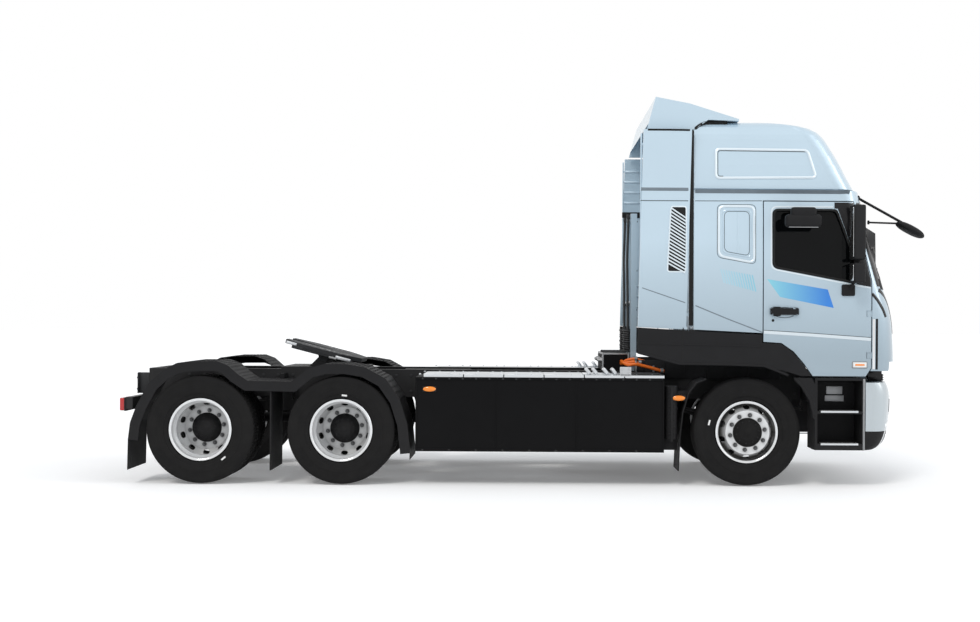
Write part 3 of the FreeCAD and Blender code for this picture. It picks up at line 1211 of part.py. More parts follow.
def cab_inside():
    front = ahead(tilt_ahead - s.overrun)
    dash = box("dash", (front - s.dash_deep, -s.dash_half, s.dash_low), (front, s.dash_half, s.dash_top))
    foot = box("dash_foot", (front - s.dash_deep / 2, -s.dash_half / 3, s.floor_z + s.floor_thick),
               (front, s.dash_half / 3, s.dash_low))
    node("dashboard", joined("dash_body", dash, foot))
    seats = []
    for side in (-1, 1):
        middle = side * s.seat_y
        rear = ahead(cab_front - s.seat_in) - s.seat_long
        cushion = box("seat_cushion", (rear, middle - s.seat_wide / 2, s.seat_z),
                      (rear + s.seat_long, middle + s.seat_wide / 2, s.seat_z + s.seat_thick))
        rest = box("seat_rest", (rear - s.seat_back_thick / 2, middle - s.seat_wide / 2, s.seat_z),
                   (rear + s.seat_back_thick / 2, middle + s.seat_wide / 2, s.seat_z + s.seat_back_tall))
        base = box("seat_base", (rear + s.seat_back_thick, middle - s.seat_base_wide / 2,
                                 s.floor_z + s.floor_thick),
                   (rear + s.seat_long - s.seat_back_thick, middle + s.seat_base_wide / 2, s.seat_z))
        seats.append(joined("seat_body", cushion, rest, base))
    node("seats", together("seat_pair", *seats))
    rear = back(s.cab_back - s.cab_wall - s.run_gap)
    bunk = box("bunk_mattress", (rear, -s.bunk_half, s.bunk_z),
               (rear + s.bunk_long, s.bunk_half, s.bunk_z + s.bunk_thick))
    base = box("bunk_base", (rear, -s.bunk_half, s.floor_z + s.floor_thick),
               (rear + s.bunk_long - s.bunk_base_in, s.bunk_half, s.bunk_z))
    node("bunk", joined("bunk_body", bunk, base))
    steering_wheel(dash)


def steering_wheel(dash):
    ring = doc.addObject("Part::Torus", "wheel_ring")
    tie(ring, Radius1=s.wheel_ring_radius, Radius2=s.wheel_ring_tube)
    hub = drum("wheel_hub", "Z", 3 * s.wheel_ring_tube, 2 * s.wheel_ring_tube,
               (zero, zero, -s.wheel_ring_tube))
    spokes = [box("wheel_spoke", (-s.wheel_ring_tube, -s.wheel_ring_radius, -s.wheel_ring_tube / 2),
                  (s.wheel_ring_tube, s.wheel_ring_radius, s.wheel_ring_tube / 2))]
    column = drum("wheel_column", "Z", s.column_radius, s.column_long, (zero, zero, -s.column_long))
    body = together("wheel_tilted", joined("wheel_body", ring, hub, column, *spokes))
    body.Placement = Placement(Vector(), Rotation(Y, -s.wheel_tilt.value))
    tie(body, Placement__Rotation__Angle=-s.wheel_tilt)
    placed(body, (ahead(cab_front - s.wheel_centre_in), s.seat_y, s.wheel_centre_z))
    node("steering_wheel", cut("wheel_to_dash", body, dash))


# Mirrors

def mirrors():
    skin = -s.cab_half
    foot = skin + 0.6 * s.cab_wall
    clear = cab_solid("arm_clear", zero)
    inner = skin - s.mirror_out
    rear, front = ahead(cab_front - s.mirror_in), ahead(cab_front - s.mirror_in) + s.mirror_deep
    heads = []
    for low, high in ((s.mirror_low, s.mirror_top), (s.wide_low, s.wide_top)):
        outline = [(rear, inner - s.mirror_wide), (front, inner - 0.75 * s.mirror_wide), (front, inner),
                   (rear, inner)]
        heads.append(prism("mirror_head", "XY", outline, low, high))
    arms = [box("mirror_arm", (rear + s.mirror_deep / 3, inner - s.mirror_wide / 3, level),
                (rear + 2 * s.mirror_deep / 3, foot, level + 2 * s.arm_radius))
            for level in (s.mirror_top - 4 * s.arm_radius, s.wide_low + 2 * s.arm_radius)]
    post = box("mirror_post", (rear + s.mirror_deep / 3, inner - s.mirror_wide / 3,
                               s.wide_low + 2 * s.arm_radius),
               (rear + 2 * s.mirror_deep / 3, inner - s.mirror_wide / 6, s.mirror_top - 2 * s.arm_radius))
    pad = box("mirror_pad", (ahead(cab_front - s.pad_in), inner, s.pad_low),
              (ahead(cab_front - s.pad_in + s.mirror_deep), foot, s.pad_low + s.pad_tall))
    tail = box("mirror_tail", (rear + s.mirror_deep / 6, inner - s.mirror_wide / 6,
                               s.pad_low + s.pad_tall / 3),
               (rear + s.mirror_deep / 3 + s.sheet, inner + s.sheet, s.wide_low + s.sheet))
    mirror = cut("mirror_body", joined("mirror_whole", *heads, *arms, post, pad, tail), clear)
    node("mirror_left", mirrored("mirror_left", mirror))

    low = (ahead(s.kerb_ahead), skin - s.kerb_out - s.kerb_wide, s.kerb_low)
    high = (ahead(s.kerb_ahead) + s.kerb_long, skin - s.kerb_out, s.kerb_low + s.kerb_tall)
    head = box("kerb_head", low, high)
    arm = box("kerb_arm", (low[0] + s.kerb_long / 3, skin - s.kerb_out, high[2] - 2 * s.arm_radius),
              (low[0] + s.kerb_long / 3 + 4 * s.arm_radius, foot, high[2]))
    kerb = cut("kerb_body", joined("kerb_whole", head, arm), clear)
    node("mirror_right", together("mirror_right", mirror, kerb))


def front_mirror():
    head = box("front_head", (-s.front_mirror_long / 2, -s.front_mirror_wide / 2,
                              -s.front_mirror_thick / 2),
               (s.front_mirror_long / 2, s.front_mirror_wide / 2, s.front_mirror_thick / 2))
    tilted = together("front_head_tilted", head)
    tilted.Placement = Placement(Vector(), Rotation(Y, s.front_mirror_tilt.value))
    tie(tilted, Placement__Rotation__Angle=s.front_mirror_tilt)
    placed(tilted, (ahead(front_mirror_place), -s.front_mirror_y, s.front_mirror_z))
    foot = 0.785 * s.cab_long - s.cab_back
    arm = prism("front_arm", "XZ", [(ahead(foot), s.front_arm_foot_z),
                                    (ahead(front_mirror_place), s.front_mirror_z),
                                    (ahead(front_mirror_place), s.front_mirror_z + 2 * s.arm_radius),
                                    (ahead(foot), s.front_arm_foot_z + 2 * s.arm_radius)],
                -s.front_mirror_y - s.arm_radius, -s.front_mirror_y + s.arm_radius)
    clear = cab_solid("mirror_clear", zero)
    node("front_mirror", joined("front_mirror_body", tilted,
                                cut("front_arm_cut", arm, clear, roof_solid("mirror_clear_roof", zero))))


# Hose stand behind the cab

def hose_stand():
    rear, front = back(s.stand_back + s.stand_deep / 2), back(s.stand_back - s.stand_deep / 2)
    low = s.rail_top
    post = box("stand_post", (rear, -s.stand_half, low), (front, -s.stand_half + s.stand_post,
                                                          s.stand_top))
    bars = [box("stand_bar", (rear, -s.stand_half, level), (front, s.stand_half, level + s.stand_post))
            for level in (s.stand_top - s.stand_post, 0.65 * s.stand_top)]
    node("hose_stand", joined("stand_frame", post, mirrored("stand_post_far", post), *bars))
    hoses = []
    for side in (-1, 1):
        place = (rear - s.hose_radius, side * s.hose_y, s.hose_low)
        hoses.append(joined("hose", drum("hose_run", "Z", s.hose_radius, s.stand_top - s.hose_low, place),
                            drum("hose_coil", "Z", s.coil_radius, s.hose_low - s.coil_low,
                                 (place[0], place[1], s.coil_low))))
    node("air_hoses", together("hoses", *hoses))


def side_lamps():
    lamps = []
    for place, level, skin in ((s.oval_front_back, s.oval_front_z, s.guard_outer),
                               (s.oval_rear_back, s.oval_rear_z, s.battery_outer)):
        lamps.append(box("side_lamp", (back(place), -skin - s.oval_thick, level),
                         (back(place) + s.oval_long, -skin, level + s.oval_tall)))
    both_sides("side_lamps", together("lamp_row", *lamps))


def check_everything():
    """Stop if any object failed or any sub-part has no sound shape."""
    doc.recompute()
    failed = [thing.Name for thing in doc.Objects if {"Invalid", "Error"} & set(thing.State)]
    if failed:
        raise RuntimeError(f"failed objects: {failed}")
    unsound = [name for name, thing in nodes.items() if thing.Shape.isNull() or not thing.Shape.isValid()]
    if unsound:
        raise RuntimeError(f"no valid shape: {unsound}")


def write_everything():
    os.makedirs("parts", exist_ok=True)
    for name, thing in nodes.items():
        thing.Shape.exportStep(f"parts/{name}.step")


for build in (frame, front_axle, knuckle, tie_rod, wheels, rear_axles, leaf_springs, drive_line,
              control_box,
              power_cables, air_tanks, battery_boxes, fenders, tail, fifth_wheel, bumper, steps,
              front_mudguards, cab, deflectors, cab_inside, mirrors, front_mirror, hose_stand,
              side_lamps):
    build()
check_everything()
write_everything()
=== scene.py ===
import math

import bmesh
import bpy
from mathutils import Matrix, Vector
from mathutils.bvhtree import BVHTree


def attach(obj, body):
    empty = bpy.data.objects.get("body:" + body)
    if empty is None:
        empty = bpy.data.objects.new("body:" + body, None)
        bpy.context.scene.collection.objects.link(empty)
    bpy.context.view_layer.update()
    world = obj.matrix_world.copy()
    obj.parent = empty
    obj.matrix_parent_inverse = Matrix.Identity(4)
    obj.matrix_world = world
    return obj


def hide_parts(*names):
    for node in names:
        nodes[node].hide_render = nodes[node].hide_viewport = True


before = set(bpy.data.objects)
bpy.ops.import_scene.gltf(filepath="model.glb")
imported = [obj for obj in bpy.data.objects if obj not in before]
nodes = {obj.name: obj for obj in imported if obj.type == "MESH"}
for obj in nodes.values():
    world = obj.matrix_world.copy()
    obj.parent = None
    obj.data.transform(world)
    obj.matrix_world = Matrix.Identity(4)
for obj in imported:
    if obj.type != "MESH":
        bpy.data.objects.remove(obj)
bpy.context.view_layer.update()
scene = bpy.context.scene

SIDES = (("right", -1), ("left", 1))

# The front axle's place along X in metres, then sizes in millimetres from that axle
AXLE = 2.150
WHEEL_MIDDLE = 522
FRONT_TRACK, OUTER_TRACK, INNER_TRACK = 1020, 1105, 755
FIRST_DRIVE, SECOND_DRIVE = -3900, -5250
BOX_START, BOX_PITCH, BOX_COUNT = -3189, 386, 6


def spot(x, y, z):
    """A place given in millimetres from the front axle, the middle and the ground."""
    return Vector((AXLE + x / 1000, y / 1000, z / 1000))


# Camera and lamps

WIDE, LENS_MM, SENSOR_MM = 980, 49.85, 36
camera = bpy.data.objects.new("camera", bpy.data.cameras.new("camera"))
camera.location = (0.006, -14.23, 1.59)
camera.rotation_euler = (math.pi / 2, -math.radians(0.35), 0)
camera.data.sensor_width = SENSOR_MM
camera.data.lens = LENS_MM
camera.data.shift_x = -35 / WIDE
camera.data.shift_y = 9 / WIDE
scene.collection.objects.link(camera)
scene.camera = camera
scene.view_settings.view_transform = "Standard"


def lamp(name, strength, angle, aim, colour):
    """A sun of a given strength and width in degrees that shines along aim."""
    light = bpy.data.lights.new(name, "SUN")
    light.energy = strength
    light.angle = math.radians(angle)
    light.color = colour
    thing = bpy.data.objects.new(name, light)
    thing.rotation_euler = Vector(aim).to_track_quat("-Z", "Y").to_euler()
    scene.collection.objects.link(thing)


lamp("key", 1.08, 18, (0.35, 0.72, -0.85), (1.0, 0.98, 0.95))
lamp("front", 0.55, 25, (-0.85, 0.12, -0.38), (1.0, 0.985, 0.96))
lamp("fill", 0.35, 40, (-0.7, 0.5, -0.45), (0.93, 0.97, 1.0))


# Node trees

class Web:
    """A node tree with short ways to add a node, feed it and blend two colours."""

    def __init__(self, tree):
        self.tree = tree

    def feed(self, node, **feeds):
        """Feeds inputs by name, where Base_Color stands for Base Color, or by number, as in i0."""
        for place, value in feeds.items():
            numbered = place[0] == "i" and place[1:].isdigit()
            socket = node.inputs[int(place[1:]) if numbered else place.replace("_", " ")]
            if isinstance(value, bpy.types.NodeSocket):
                self.tree.links.new(value, socket)
            else:
                socket.default_value = value
        return node

    def add(self, kind, operation=None, **feeds):
        node = self.tree.nodes.new("ShaderNode" + kind)
        if operation:
            node.operation = operation
        return self.feed(node, **feeds)

    def blend(self, share, first, second):
        """A mix of two colours, each three numbers or another node's output."""
        node = self.add("Mix", i0=share)
        node.data_type = "RGBA"
        first, second = [c if isinstance(c, bpy.types.NodeSocket) else (*c, 1) for c in (first, second)]
        return self.feed(node, i6=first, i7=second).outputs[2]


def wired(material):
    """The material's node tree and its shader."""
    material.use_nodes = True
    return Web(material.node_tree), material.node_tree.nodes["Principled BSDF"]


# A white world where it is seen, through glass and in reflections, and a softer one that lights the rest

world = bpy.data.worlds.new("world")
scene.world = world
world.use_nodes = True
world.node_tree.nodes.clear()
web = Web(world.node_tree)
ray = web.add("LightPath").outputs
seen = web.add("Math", "MAXIMUM", i0=ray["Is Camera Ray"], i1=ray["Is Transmission Ray"])
seen = web.add("Math", "MAXIMUM", i0=seen.outputs[0], i1=ray["Is Glossy Ray"])
soft = web.add("Background", Color=(0.93, 0.96, 1.0, 1), Strength=0.68)
plain = web.add("Background", Color=(1, 1, 1, 1), Strength=1.0)
mixed = web.add("MixShader", i0=seen.outputs[0], i1=soft.outputs[0], i2=plain.outputs[0])
web.add("OutputWorld", i0=mixed.outputs[0])


# Materials

DUST = (0.24, 0.22, 0.19)
DUST_TOP, DUST_FOOT = 1.25, 0.15
SHADE_TOP, SHADE_FOOT = 2.35, 1.25
CAR_COAT = dict(rough=0.33, patch=(1.3, 0.035), grain=(900, 0.03), coat=0.6, swing=0.05)


def finish_of(name, colour, rough, patch, grain, metal=0, coat=0, swing=0.08, dust=0, sheen=0,
              stretch=(1, 1, 1), clear=0, ridges=None, shine=0.5, shade=0):
    """A finish whose colour, gloss and relief vary over the surface."""
    material = bpy.data.materials.new(name)
    web, shader = wired(material)
    place = web.add("TexCoord").outputs["Object"]
    scaled = web.add("Mapping", Vector=place, Scale=stretch).outputs[0]
    cloud = web.add("TexNoise", Vector=scaled, Scale=patch[0], Detail=4.0).outputs["Fac"]
    dark = [max(0, c * (1 - patch[1])) for c in colour]
    light = [min(1, c * (1 + patch[1])) for c in colour]
    shown = web.blend(cloud, dark, light)
    if dust:
        height = web.add("SeparateXYZ", Vector=place).outputs["Z"]
        low = web.add("MapRange", Value=height, From_Min=DUST_TOP, From_Max=DUST_FOOT)
        spots = web.add("TexNoise", Vector=place, Scale=9.0, Detail=6.0).outputs["Fac"]
        much = web.add("Math", "MULTIPLY", i0=low.outputs[0], i1=spots).outputs[0]
        some = web.add("Math", "MULTIPLY", i0=much, i1=dust).outputs[0]
        shown = web.blend(some, shown, DUST)
    if shade:
        height = web.add("SeparateXYZ", Vector=place).outputs["Z"]
        low = web.add("MapRange", Value=height, From_Min=SHADE_TOP, From_Max=SHADE_FOOT)
        much = web.add("Math", "MULTIPLY", i0=low.outputs[0], i1=shade).outputs[0]
        shown = web.blend(much, shown, [c * 0.45 for c in colour])
    gloss = web.add("MapRange", Value=cloud, To_Min=max(0.02, rough - swing), To_Max=min(1, rough + swing))
    fine = web.add("TexNoise", Vector=scaled, Scale=grain[0], Detail=3.0).outputs["Fac"]
    if ridges:
        wave = web.add("TexWave", Vector=place, Scale=ridges[1], Distortion=0.0)
        wave.bands_direction = ridges[0]
        fine = web.add("Math", "ADD", i0=wave.outputs["Fac"], i1=fine).outputs[0]
    relief = web.add("Bump", Height=fine, Strength=grain[1], Distance=0.002)
    web.feed(shader, Base_Color=shown, Roughness=gloss.outputs[0], Normal=relief.outputs[0], Metallic=metal,
             Specular_IOR_Level=shine, Coat_Weight=coat, Coat_Roughness=0.06, Sheen_Weight=sheen,
             Transmission_Weight=clear)
    if clear:
        web.feed(shader, IOR=1.45)
    return material


PAINT = finish_of("pale_paint", (0.495, 0.62, 0.71), metal=0.25, shade=0.7, **CAR_COAT)
# Painted shade: the cab's paint made darker and greyer for the bumper on the front, which faces away from the
# light
SHADED_FRONT_PAINT = finish_of("shaded_front_paint", (0.445, 0.492, 0.518), metal=0.2, **CAR_COAT)
# Painted highlight: a lighter copy of the cab's paint for frames, edges, the door crease and vent slats where
# light catches them
HIGHLIGHT_PAINT = finish_of("highlight_paint", (0.70, 0.78, 0.83), metal=0.2, shade=0.3, **CAR_COAT)
BLACK = finish_of("grained_plastic", (0.012, 0.012, 0.013), 0.62, (7, 0.25), (700, 0.35),
                  dust=0.03, shine=0.15)
SATIN = finish_of("frame_paint", (0.012, 0.012, 0.013), 0.52, (5, 0.3), (260, 0.15), 0, 0.03,
                  dust=0.07, shine=0.25)
BOXES = finish_of("box_paint", (0.0055, 0.0055, 0.006), 0.6, (2.5, 0.25), (180, 0.1), dust=0.008, shine=0.06)
GLOSS = finish_of("gloss_black", (0.01, 0.01, 0.011), 0.22, (6, 0.2), (500, 0.02), 0, 0.08, 0.04, shine=0.25)
ALU = finish_of("brushed_aluminium", (0.62, 0.64, 0.66), 0.36, (6, 0.12), (160, 0.25), 0.9,
                stretch=(0.15, 6, 1))
SILVER = finish_of("rim_paint", (0.74, 0.75, 0.76), 0.42, (9, 0.1), (420, 0.06), 0.3, 0.25, dust=0.2)
CHROME = finish_of("bright_metal", (0.74, 0.75, 0.76), 0.12, (10, 0.05), (300, 0.02), 1, swing=0.05)
STEEL = finish_of("zinc_steel", (0.27, 0.275, 0.28), 0.42, (30, 0.2), (220, 0.15), 0.8)
NUT = finish_of("nut_steel", (0.10, 0.102, 0.105), 0.4, (30, 0.2), (220, 0.15), 0.7)
IRON = finish_of("painted_iron", (0.026, 0.027, 0.029), 0.62, (12, 0.35), (120, 0.5), dust=0.1, shine=0.25)
TYRE = finish_of("tyre_rubber", (0.0085, 0.0085, 0.009), 0.82, (14, 0.3), (240, 0.25), dust=0.03, shine=0.12)
RUBBER = finish_of("seal_rubber", (0.011, 0.011, 0.011), 0.66, (20, 0.3), (500, 0.2), shine=0.2)
HOSE = finish_of("hose_rubber", (0.016, 0.016, 0.017), 0.5, (16, 0.3), (300, 0.2), ridges=("Z", 22))
ORANGE = finish_of("orange_sleeve", (0.85, 0.16, 0.008), 0.45, (18, 0.15), (300, 0.2))
GLASS = finish_of("tinted_glass", (0.003, 0.0035, 0.004), 0.03, (2, 0.1), (40, 0.004), swing=0.01,
                  clear=0.3, shine=0.02)
LENS = finish_of("lamp_glass", (0.80, 0.84, 0.86), 0.05, (5, 0.05), (60, 0.01), swing=0.02, clear=0.85)
RED = finish_of("red_lens", (0.42, 0.012, 0.012), 0.15, (8, 0.15), (120, 0.05), 0, 0.4, 0.05,
                ridges=("Z", 18))
AMBER = finish_of("amber_lens", (0.85, 0.24, 0.012), 0.15, (8, 0.12), (120, 0.05), 0, 0.4, 0.05,
                  ridges=("X", 18))
WHITE = finish_of("white_mark", (0.75, 0.75, 0.74), 0.5, (30, 0.08), (300, 0.1))
PLATE = finish_of("blank_plate", (0.46, 0.47, 0.48), 0.45, (14, 0.08), (300, 0.08), 0.2, 0.1)
CLOTH = finish_of("seat_cloth", (0.045, 0.047, 0.052), 0.9, (30, 0.2), (900, 0.6), sheen=0.35)
# Painted shade in the grooves and creases of the cab and deflectors
GROOVE_SHADE = finish_of("groove_shade", (0.17, 0.205, 0.235), 0.5, (8, 0.15), (500, 0.1), shine=0.2)
SHADE = finish_of("seam_shade", (0.085, 0.105, 0.12), 0.5, (8, 0.15), (500, 0.1), shine=0.2)
TRIM = finish_of("inner_trim", (0.05, 0.051, 0.054), 0.65, (8, 0.2), (600, 0.3))

# Painted shade in the rims' corners and hollows, where ambient occlusion darkens the rim's colour
web, shader = wired(SILVER)
corner = web.add("AmbientOcclusion", Distance=0.13).outputs["AO"]
corner = web.add("Math", "POWER", i0=corner, i1=1.6).outputs[0]
unshaded = shader.inputs["Base Color"].links[0].from_socket
web.feed(shader, Base_Color=web.blend(corner, (0.11, 0.107, 0.10), unshaded))


def faded(name, first, last, low, high):
    """Printed colour that runs from one hue to another along X, between two places in metres."""
    material = finish_of(name, first, 0.35, (3, 0.03), (900, 0.03), 0, 0.5, 0.04)
    web, shader = wired(material)
    place = web.add("SeparateXYZ", Vector=web.add("TexCoord").outputs["Object"]).outputs["X"]
    share = web.add("MapRange", Value=place, From_Min=low, From_Max=high).outputs[0]
    web.feed(shader, Base_Color=web.blend(share, first, last))
    return material


DECAL = faded("decal_blue", (0.22, 0.56, 0.66), (0.015, 0.19, 0.62), AXLE + 0.18, AXLE + 0.75)
STRIPES = faded("decal_stripes", (0.38, 0.58, 0.68), (0.20, 0.50, 0.62), AXLE - 0.28, AXLE + 0.10)

# Each solid's finish, where {} stands for right and left
FINISHES = {
    PAINT: "cab_shell high_roof door_{} side_deflectors roof_deflector front_lid door_hinges hose_stand",
    SHADED_FRONT_PAINT: "bumper",
    BLACK: "cab_skirts bumper_valance steps front_mudguards rear_fenders mirror_{} front_mirror",
    SATIN: "frame_rails leaf_springs tail_bar air_tanks fifth_wheel_base",
    BOXES: "battery_boxes control_box drive_line",
    IRON: "front_axle_beam rear_axles knuckle_{} tie_rod fifth_wheel_plate",
    ALU: "battery_covers", ORANGE: "power_cables", HOSE: "air_hoses", RED: "tail_lamps", AMBER: "side_lamps",
    LENS: "headlamps", GLASS: "windscreen door_glass_{}", TRIM: "dashboard steering_wheel",
    CLOTH: "seats bunk", SILVER: "front_rim_{} drive_1_rim_{} drive_2_rim_{}",
    TYRE: "front_tyre_{} drive_1_tyre_{} drive_2_tyre_{}",
}
for material, names in FINISHES.items():
    for name in names.split():
        for side, sign in SIDES:
            coats = nodes[name.format(side)].data.materials
            coats.clear()
            coats.append(material)

floor = bpy.data.objects.new("floor", bpy.data.meshes.new("floor"))
corners = [(-60, -40, -0.002), (60, -40, -0.002), (60, 160, -0.002), (-60, 160, -0.002)]
floor.data.from_pydata(corners, [], [(0, 1, 2, 3)])
white = finish_of("pale_floor", (0.93, 0.93, 0.93), 0.9, (0.6, 0.015), (30, 0.02))
web, shader = wired(white)
web.feed(shader, Emission_Color=(1, 1, 1, 1), Emission_Strength=0.16)
floor.data.materials.append(white)
scene.collection.objects.link(floor)


# Pieces and the parts that they are made of

def smooth(mesh, angle):
    """Smooth shading, but sharp where two faces meet at more than the angle."""
    work = bmesh.new()
    work.from_mesh(mesh)
    for face in work.faces:
        face.smooth = True
    for edge in work.edges:
        edge.smooth = len(edge.link_faces) != 2 or edge.calc_face_angle(0) < math.radians(angle)
    work.to_mesh(mesh)
    work.free()


def piece(name, mesh, body, material, place=(0, 0, 0), turn=(0, 0, 0), stands_for=(), angle=38):
    """A shown piece that rides on a body."""
    mesh.materials.clear()
    mesh.materials.append(material)
    smooth(mesh, angle)
    thing = bpy.data.objects.new(name, mesh)
    scene.collection.objects.link(thing)
    thing.location = place
    thing.rotation_euler = turn
    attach(thing, body)
    if stands_for:
        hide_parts(*stands_for)
    return thing


def mesh_of(name, work):
    """The mesh in the making, ended, with its faces turned outwards."""
    bmesh.ops.recalc_face_normals(work, faces=work.faces)
    mesh = bpy.data.meshes.new(name)
    work.to_mesh(mesh)
    work.free()
    return mesh


def take(work, mesh):
    """Moves a mesh into a mesh in the making."""
    work.from_mesh(mesh)
    bpy.data.meshes.remove(mesh)


def fitted(name, body, material, *parts, moved=None, stands_for=(), angle=38):
    """A piece made of parts, each a function that adds to a mesh, followed by what it is given."""
    work = bmesh.new()
    for add, *values in parts:
        add(work, *values)
    if moved:
        bmesh.ops.transform(work, matrix=moved, verts=work.verts)
    return piece(name, mesh_of(name, work), body, material, stands_for=stands_for, angle=angle)


def mirrored(value, sign):
    """The same values, but with Y of each place, which is a tuple of three numbers, times the sign."""
    if not isinstance(value, (tuple, list)):
        return value
    if len(value) == 3 and all(isinstance(number, (int, float)) for number in value):
        return value[0], sign * value[1], value[2]
    return [mirrored(item, sign) for item in value]


def both(*parts):
    """Parts given for the left side, for both sides."""
    return mirrored(parts, -1) + mirrored(parts, 1)


def pair(name, body, material, *parts, stands_for=(), angle=38):
    """A piece on each side from the left one's parts, where {} stands for the side in other names."""
    for side, sign in SIDES:
        rides, stood = body.format(side), [other.format(side) for other in stands_for]
        fitted(f"{name}_{side}", rides, material, *mirrored(parts, sign), stands_for=stood, angle=angle)


def lump(work, low, high, edge=0.0, steps=2, turn=None):
    """Adds a box with rounded edges, in metres; a turn is about its own middle."""
    low, high = Vector(low), Vector(high)
    made = bmesh.ops.create_cube(work, size=1.0)["verts"]
    bmesh.ops.scale(work, vec=high - low, verts=made)
    if edge:
        edges = list({e for v in made for e in v.link_edges})
        rounded = bmesh.ops.bevel(work, geom=edges, offset=edge, segments=steps, affect="EDGES", profile=0.5)
        fresh = rounded["verts"]
        made = list({*fresh, *(e.other_vert(v) for v in fresh for e in v.link_edges)})
    if turn:
        bmesh.ops.rotate(work, cent=(0, 0, 0), matrix=turn, verts=made)
    bmesh.ops.translate(work, vec=(low + high) / 2, verts=made)
    return made


def block(work, low, high, edge=3, steps=2, turn=None):
    """Adds a rounded box between two corners in millimetres, given in any order."""
    a = [min(p, q) / 1000 for p, q in zip(low, high)]
    b = [max(p, q) / 1000 for p, q in zip(low, high)]
    return lump(work, a, b, edge / 1000, steps, turn)


def bar(work, low, high, edge=3, steps=2, turn=None):
    """Like block, with the corners in millimetres from the axle."""
    shift = AXLE * 1000
    block(work, (low[0] + shift, *low[1:]), (high[0] + shift, *high[1:]), edge, steps, turn)


def rod(work, start, end, radius, sides=12, end_radius=None):
    """Adds a round bar from start to end, in metres."""
    start, end = Vector(start), Vector(end)
    made = bmesh.ops.create_cone(work, cap_ends=True, segments=sides, radius1=radius,
                                 radius2=radius if end_radius is None else end_radius,
                                 depth=(end - start).length)["verts"]
    turn = (end - start).to_track_quat("Z", "Y").to_matrix().to_4x4()
    bmesh.ops.transform(work, matrix=Matrix.Translation((start + end) / 2) @ turn, verts=made)


def pin(work, start, end, radius, sides=12, end_radius=None):
    """Like rod, in millimetres from the axle."""
    end_radius = radius if end_radius is None else end_radius
    rod(work, spot(*start), spot(*end), radius / 1000, sides, end_radius / 1000)


def bolts(work, places, axis, radius=8, proud=8):
    """Adds hexagon heads on washers that stand out along the axis, in millimetres from the axle."""
    axis = Vector(axis)
    radius, proud = radius / 1000, proud / 1000
    for place in places:
        at = spot(*place)
        rod(work, at - axis * 0.002, at + axis * proud * 0.3, radius * 1.6, 12)
        rod(work, at + axis * proud * 0.3, at + axis * proud, radius, 6, radius * 0.9)


def tube(work, points, radius, sides=10, closed=False):
    """Adds a round tube along points, in metres."""
    curve = bpy.data.curves.new("tube", "CURVE")
    curve.dimensions = "3D"
    curve.bevel_depth = radius
    curve.bevel_resolution = max(1, sides // 4)
    curve.use_fill_caps = not closed
    line = curve.splines.new("NURBS")
    line.points.add(len(points) - 1)
    for target, point in zip(line.points, points):
        target.co = (*point, 1)
    line.order_u = 3
    line.use_endpoint_u = not closed
    line.use_cyclic_u = closed
    line.resolution_u = 8
    holder = bpy.data.objects.new("tube", curve)
    scene.collection.objects.link(holder)
    take(work, bpy.data.meshes.new_from_object(holder))
    bpy.data.objects.remove(holder)
    bpy.data.curves.remove(curve)


def prism(work, lower, upper, edge, steps, profile):
    """Adds a body with rounded edges between two outlines of equal length, in millimetres from the axle."""
    rings = [[work.verts.new(spot(*point)) for point in outline] for outline in (lower, upper)]
    for ring in rings:
        work.faces.new(ring)
    low, high = rings
    for k in range(len(low)):
        work.faces.new((low[k - 1], low[k], high[k], high[k - 1]))
    edges = list({e for v in low + high for e in v.link_edges})
    bmesh.ops.bevel(work, geom=edges, offset=edge / 1000, segments=steps, affect="EDGES", profile=profile)


def turned(name, profile, steps=96):
    """A closed mesh turned about Y from points of (along Y, radius), in millimetres."""
    work = bmesh.new()
    rings = []
    for y, r in profile:
        y, r = y / 1000, r / 1000
        angles = [2 * math.pi * k / steps for k in range(steps if r else 1)]
        rings.append([work.verts.new((r * math.cos(a), y, r * math.sin(a))) for a in angles])
    for first, second in zip(rings, rings[1:] + rings[:1]):
        for k in range(steps):
            j = (k + 1) % steps
            if len(first) == 1 and len(second) == 1:
                continue
            if len(first) == 1:
                work.faces.new((first[0], second[k], second[j]))
            elif len(second) == 1:
                work.faces.new((first[k], second[0], first[j]))
            else:
                work.faces.new((first[k], second[k], second[j], first[j]))
    return mesh_of(name, work)


# Laying thin pieces on the painted skin

def skin_of(*names):
    """The solids' faces as one surface that rays can hit."""
    verts, faces = [], []
    for name in names:
        base = len(verts)
        mesh = nodes[name].data
        verts += [v.co.copy() for v in mesh.vertices]
        faces += [tuple(base + i for i in p.vertices) for p in mesh.polygons]
    return BVHTree.FromPolygons(verts, faces)


def side_place(skin, sign, spare=1.25):
    """A function that stands a lift in metres off the side's skin at x, z; spare serves beyond its edge."""
    def place(x, z, lift):
        start = spot(x, sign * 2000, z)
        hit = skin.ray_cast(start, Vector((0, -sign, 0)), 2.0)[0]
        if hit is None or abs(hit.y) < 0.9:
            hit = Vector((start.x, sign * spare, start.z))
        return hit + Vector((0, sign * lift, 0))
    return place


def front_place(skin, sign=1, spare=3.4):
    """Like side_place, on the front's skin at y, z; a sign of -1 mirrors y."""
    def place(y, z, lift):
        start = spot(3000, sign * y, z)
        hit = skin.ray_cast(start, Vector((-1, 0, 0)), 3.0)[0]
        if hit is None:
            hit = Vector((spare, start.y, start.z))
        return hit + Vector((lift, 0, 0))
    return place


def flat_place(y, sign):
    """Like side_place, on an upright plane."""
    return lambda x, z, lift: spot(x, sign * y, z) + Vector((0, sign * lift, 0))


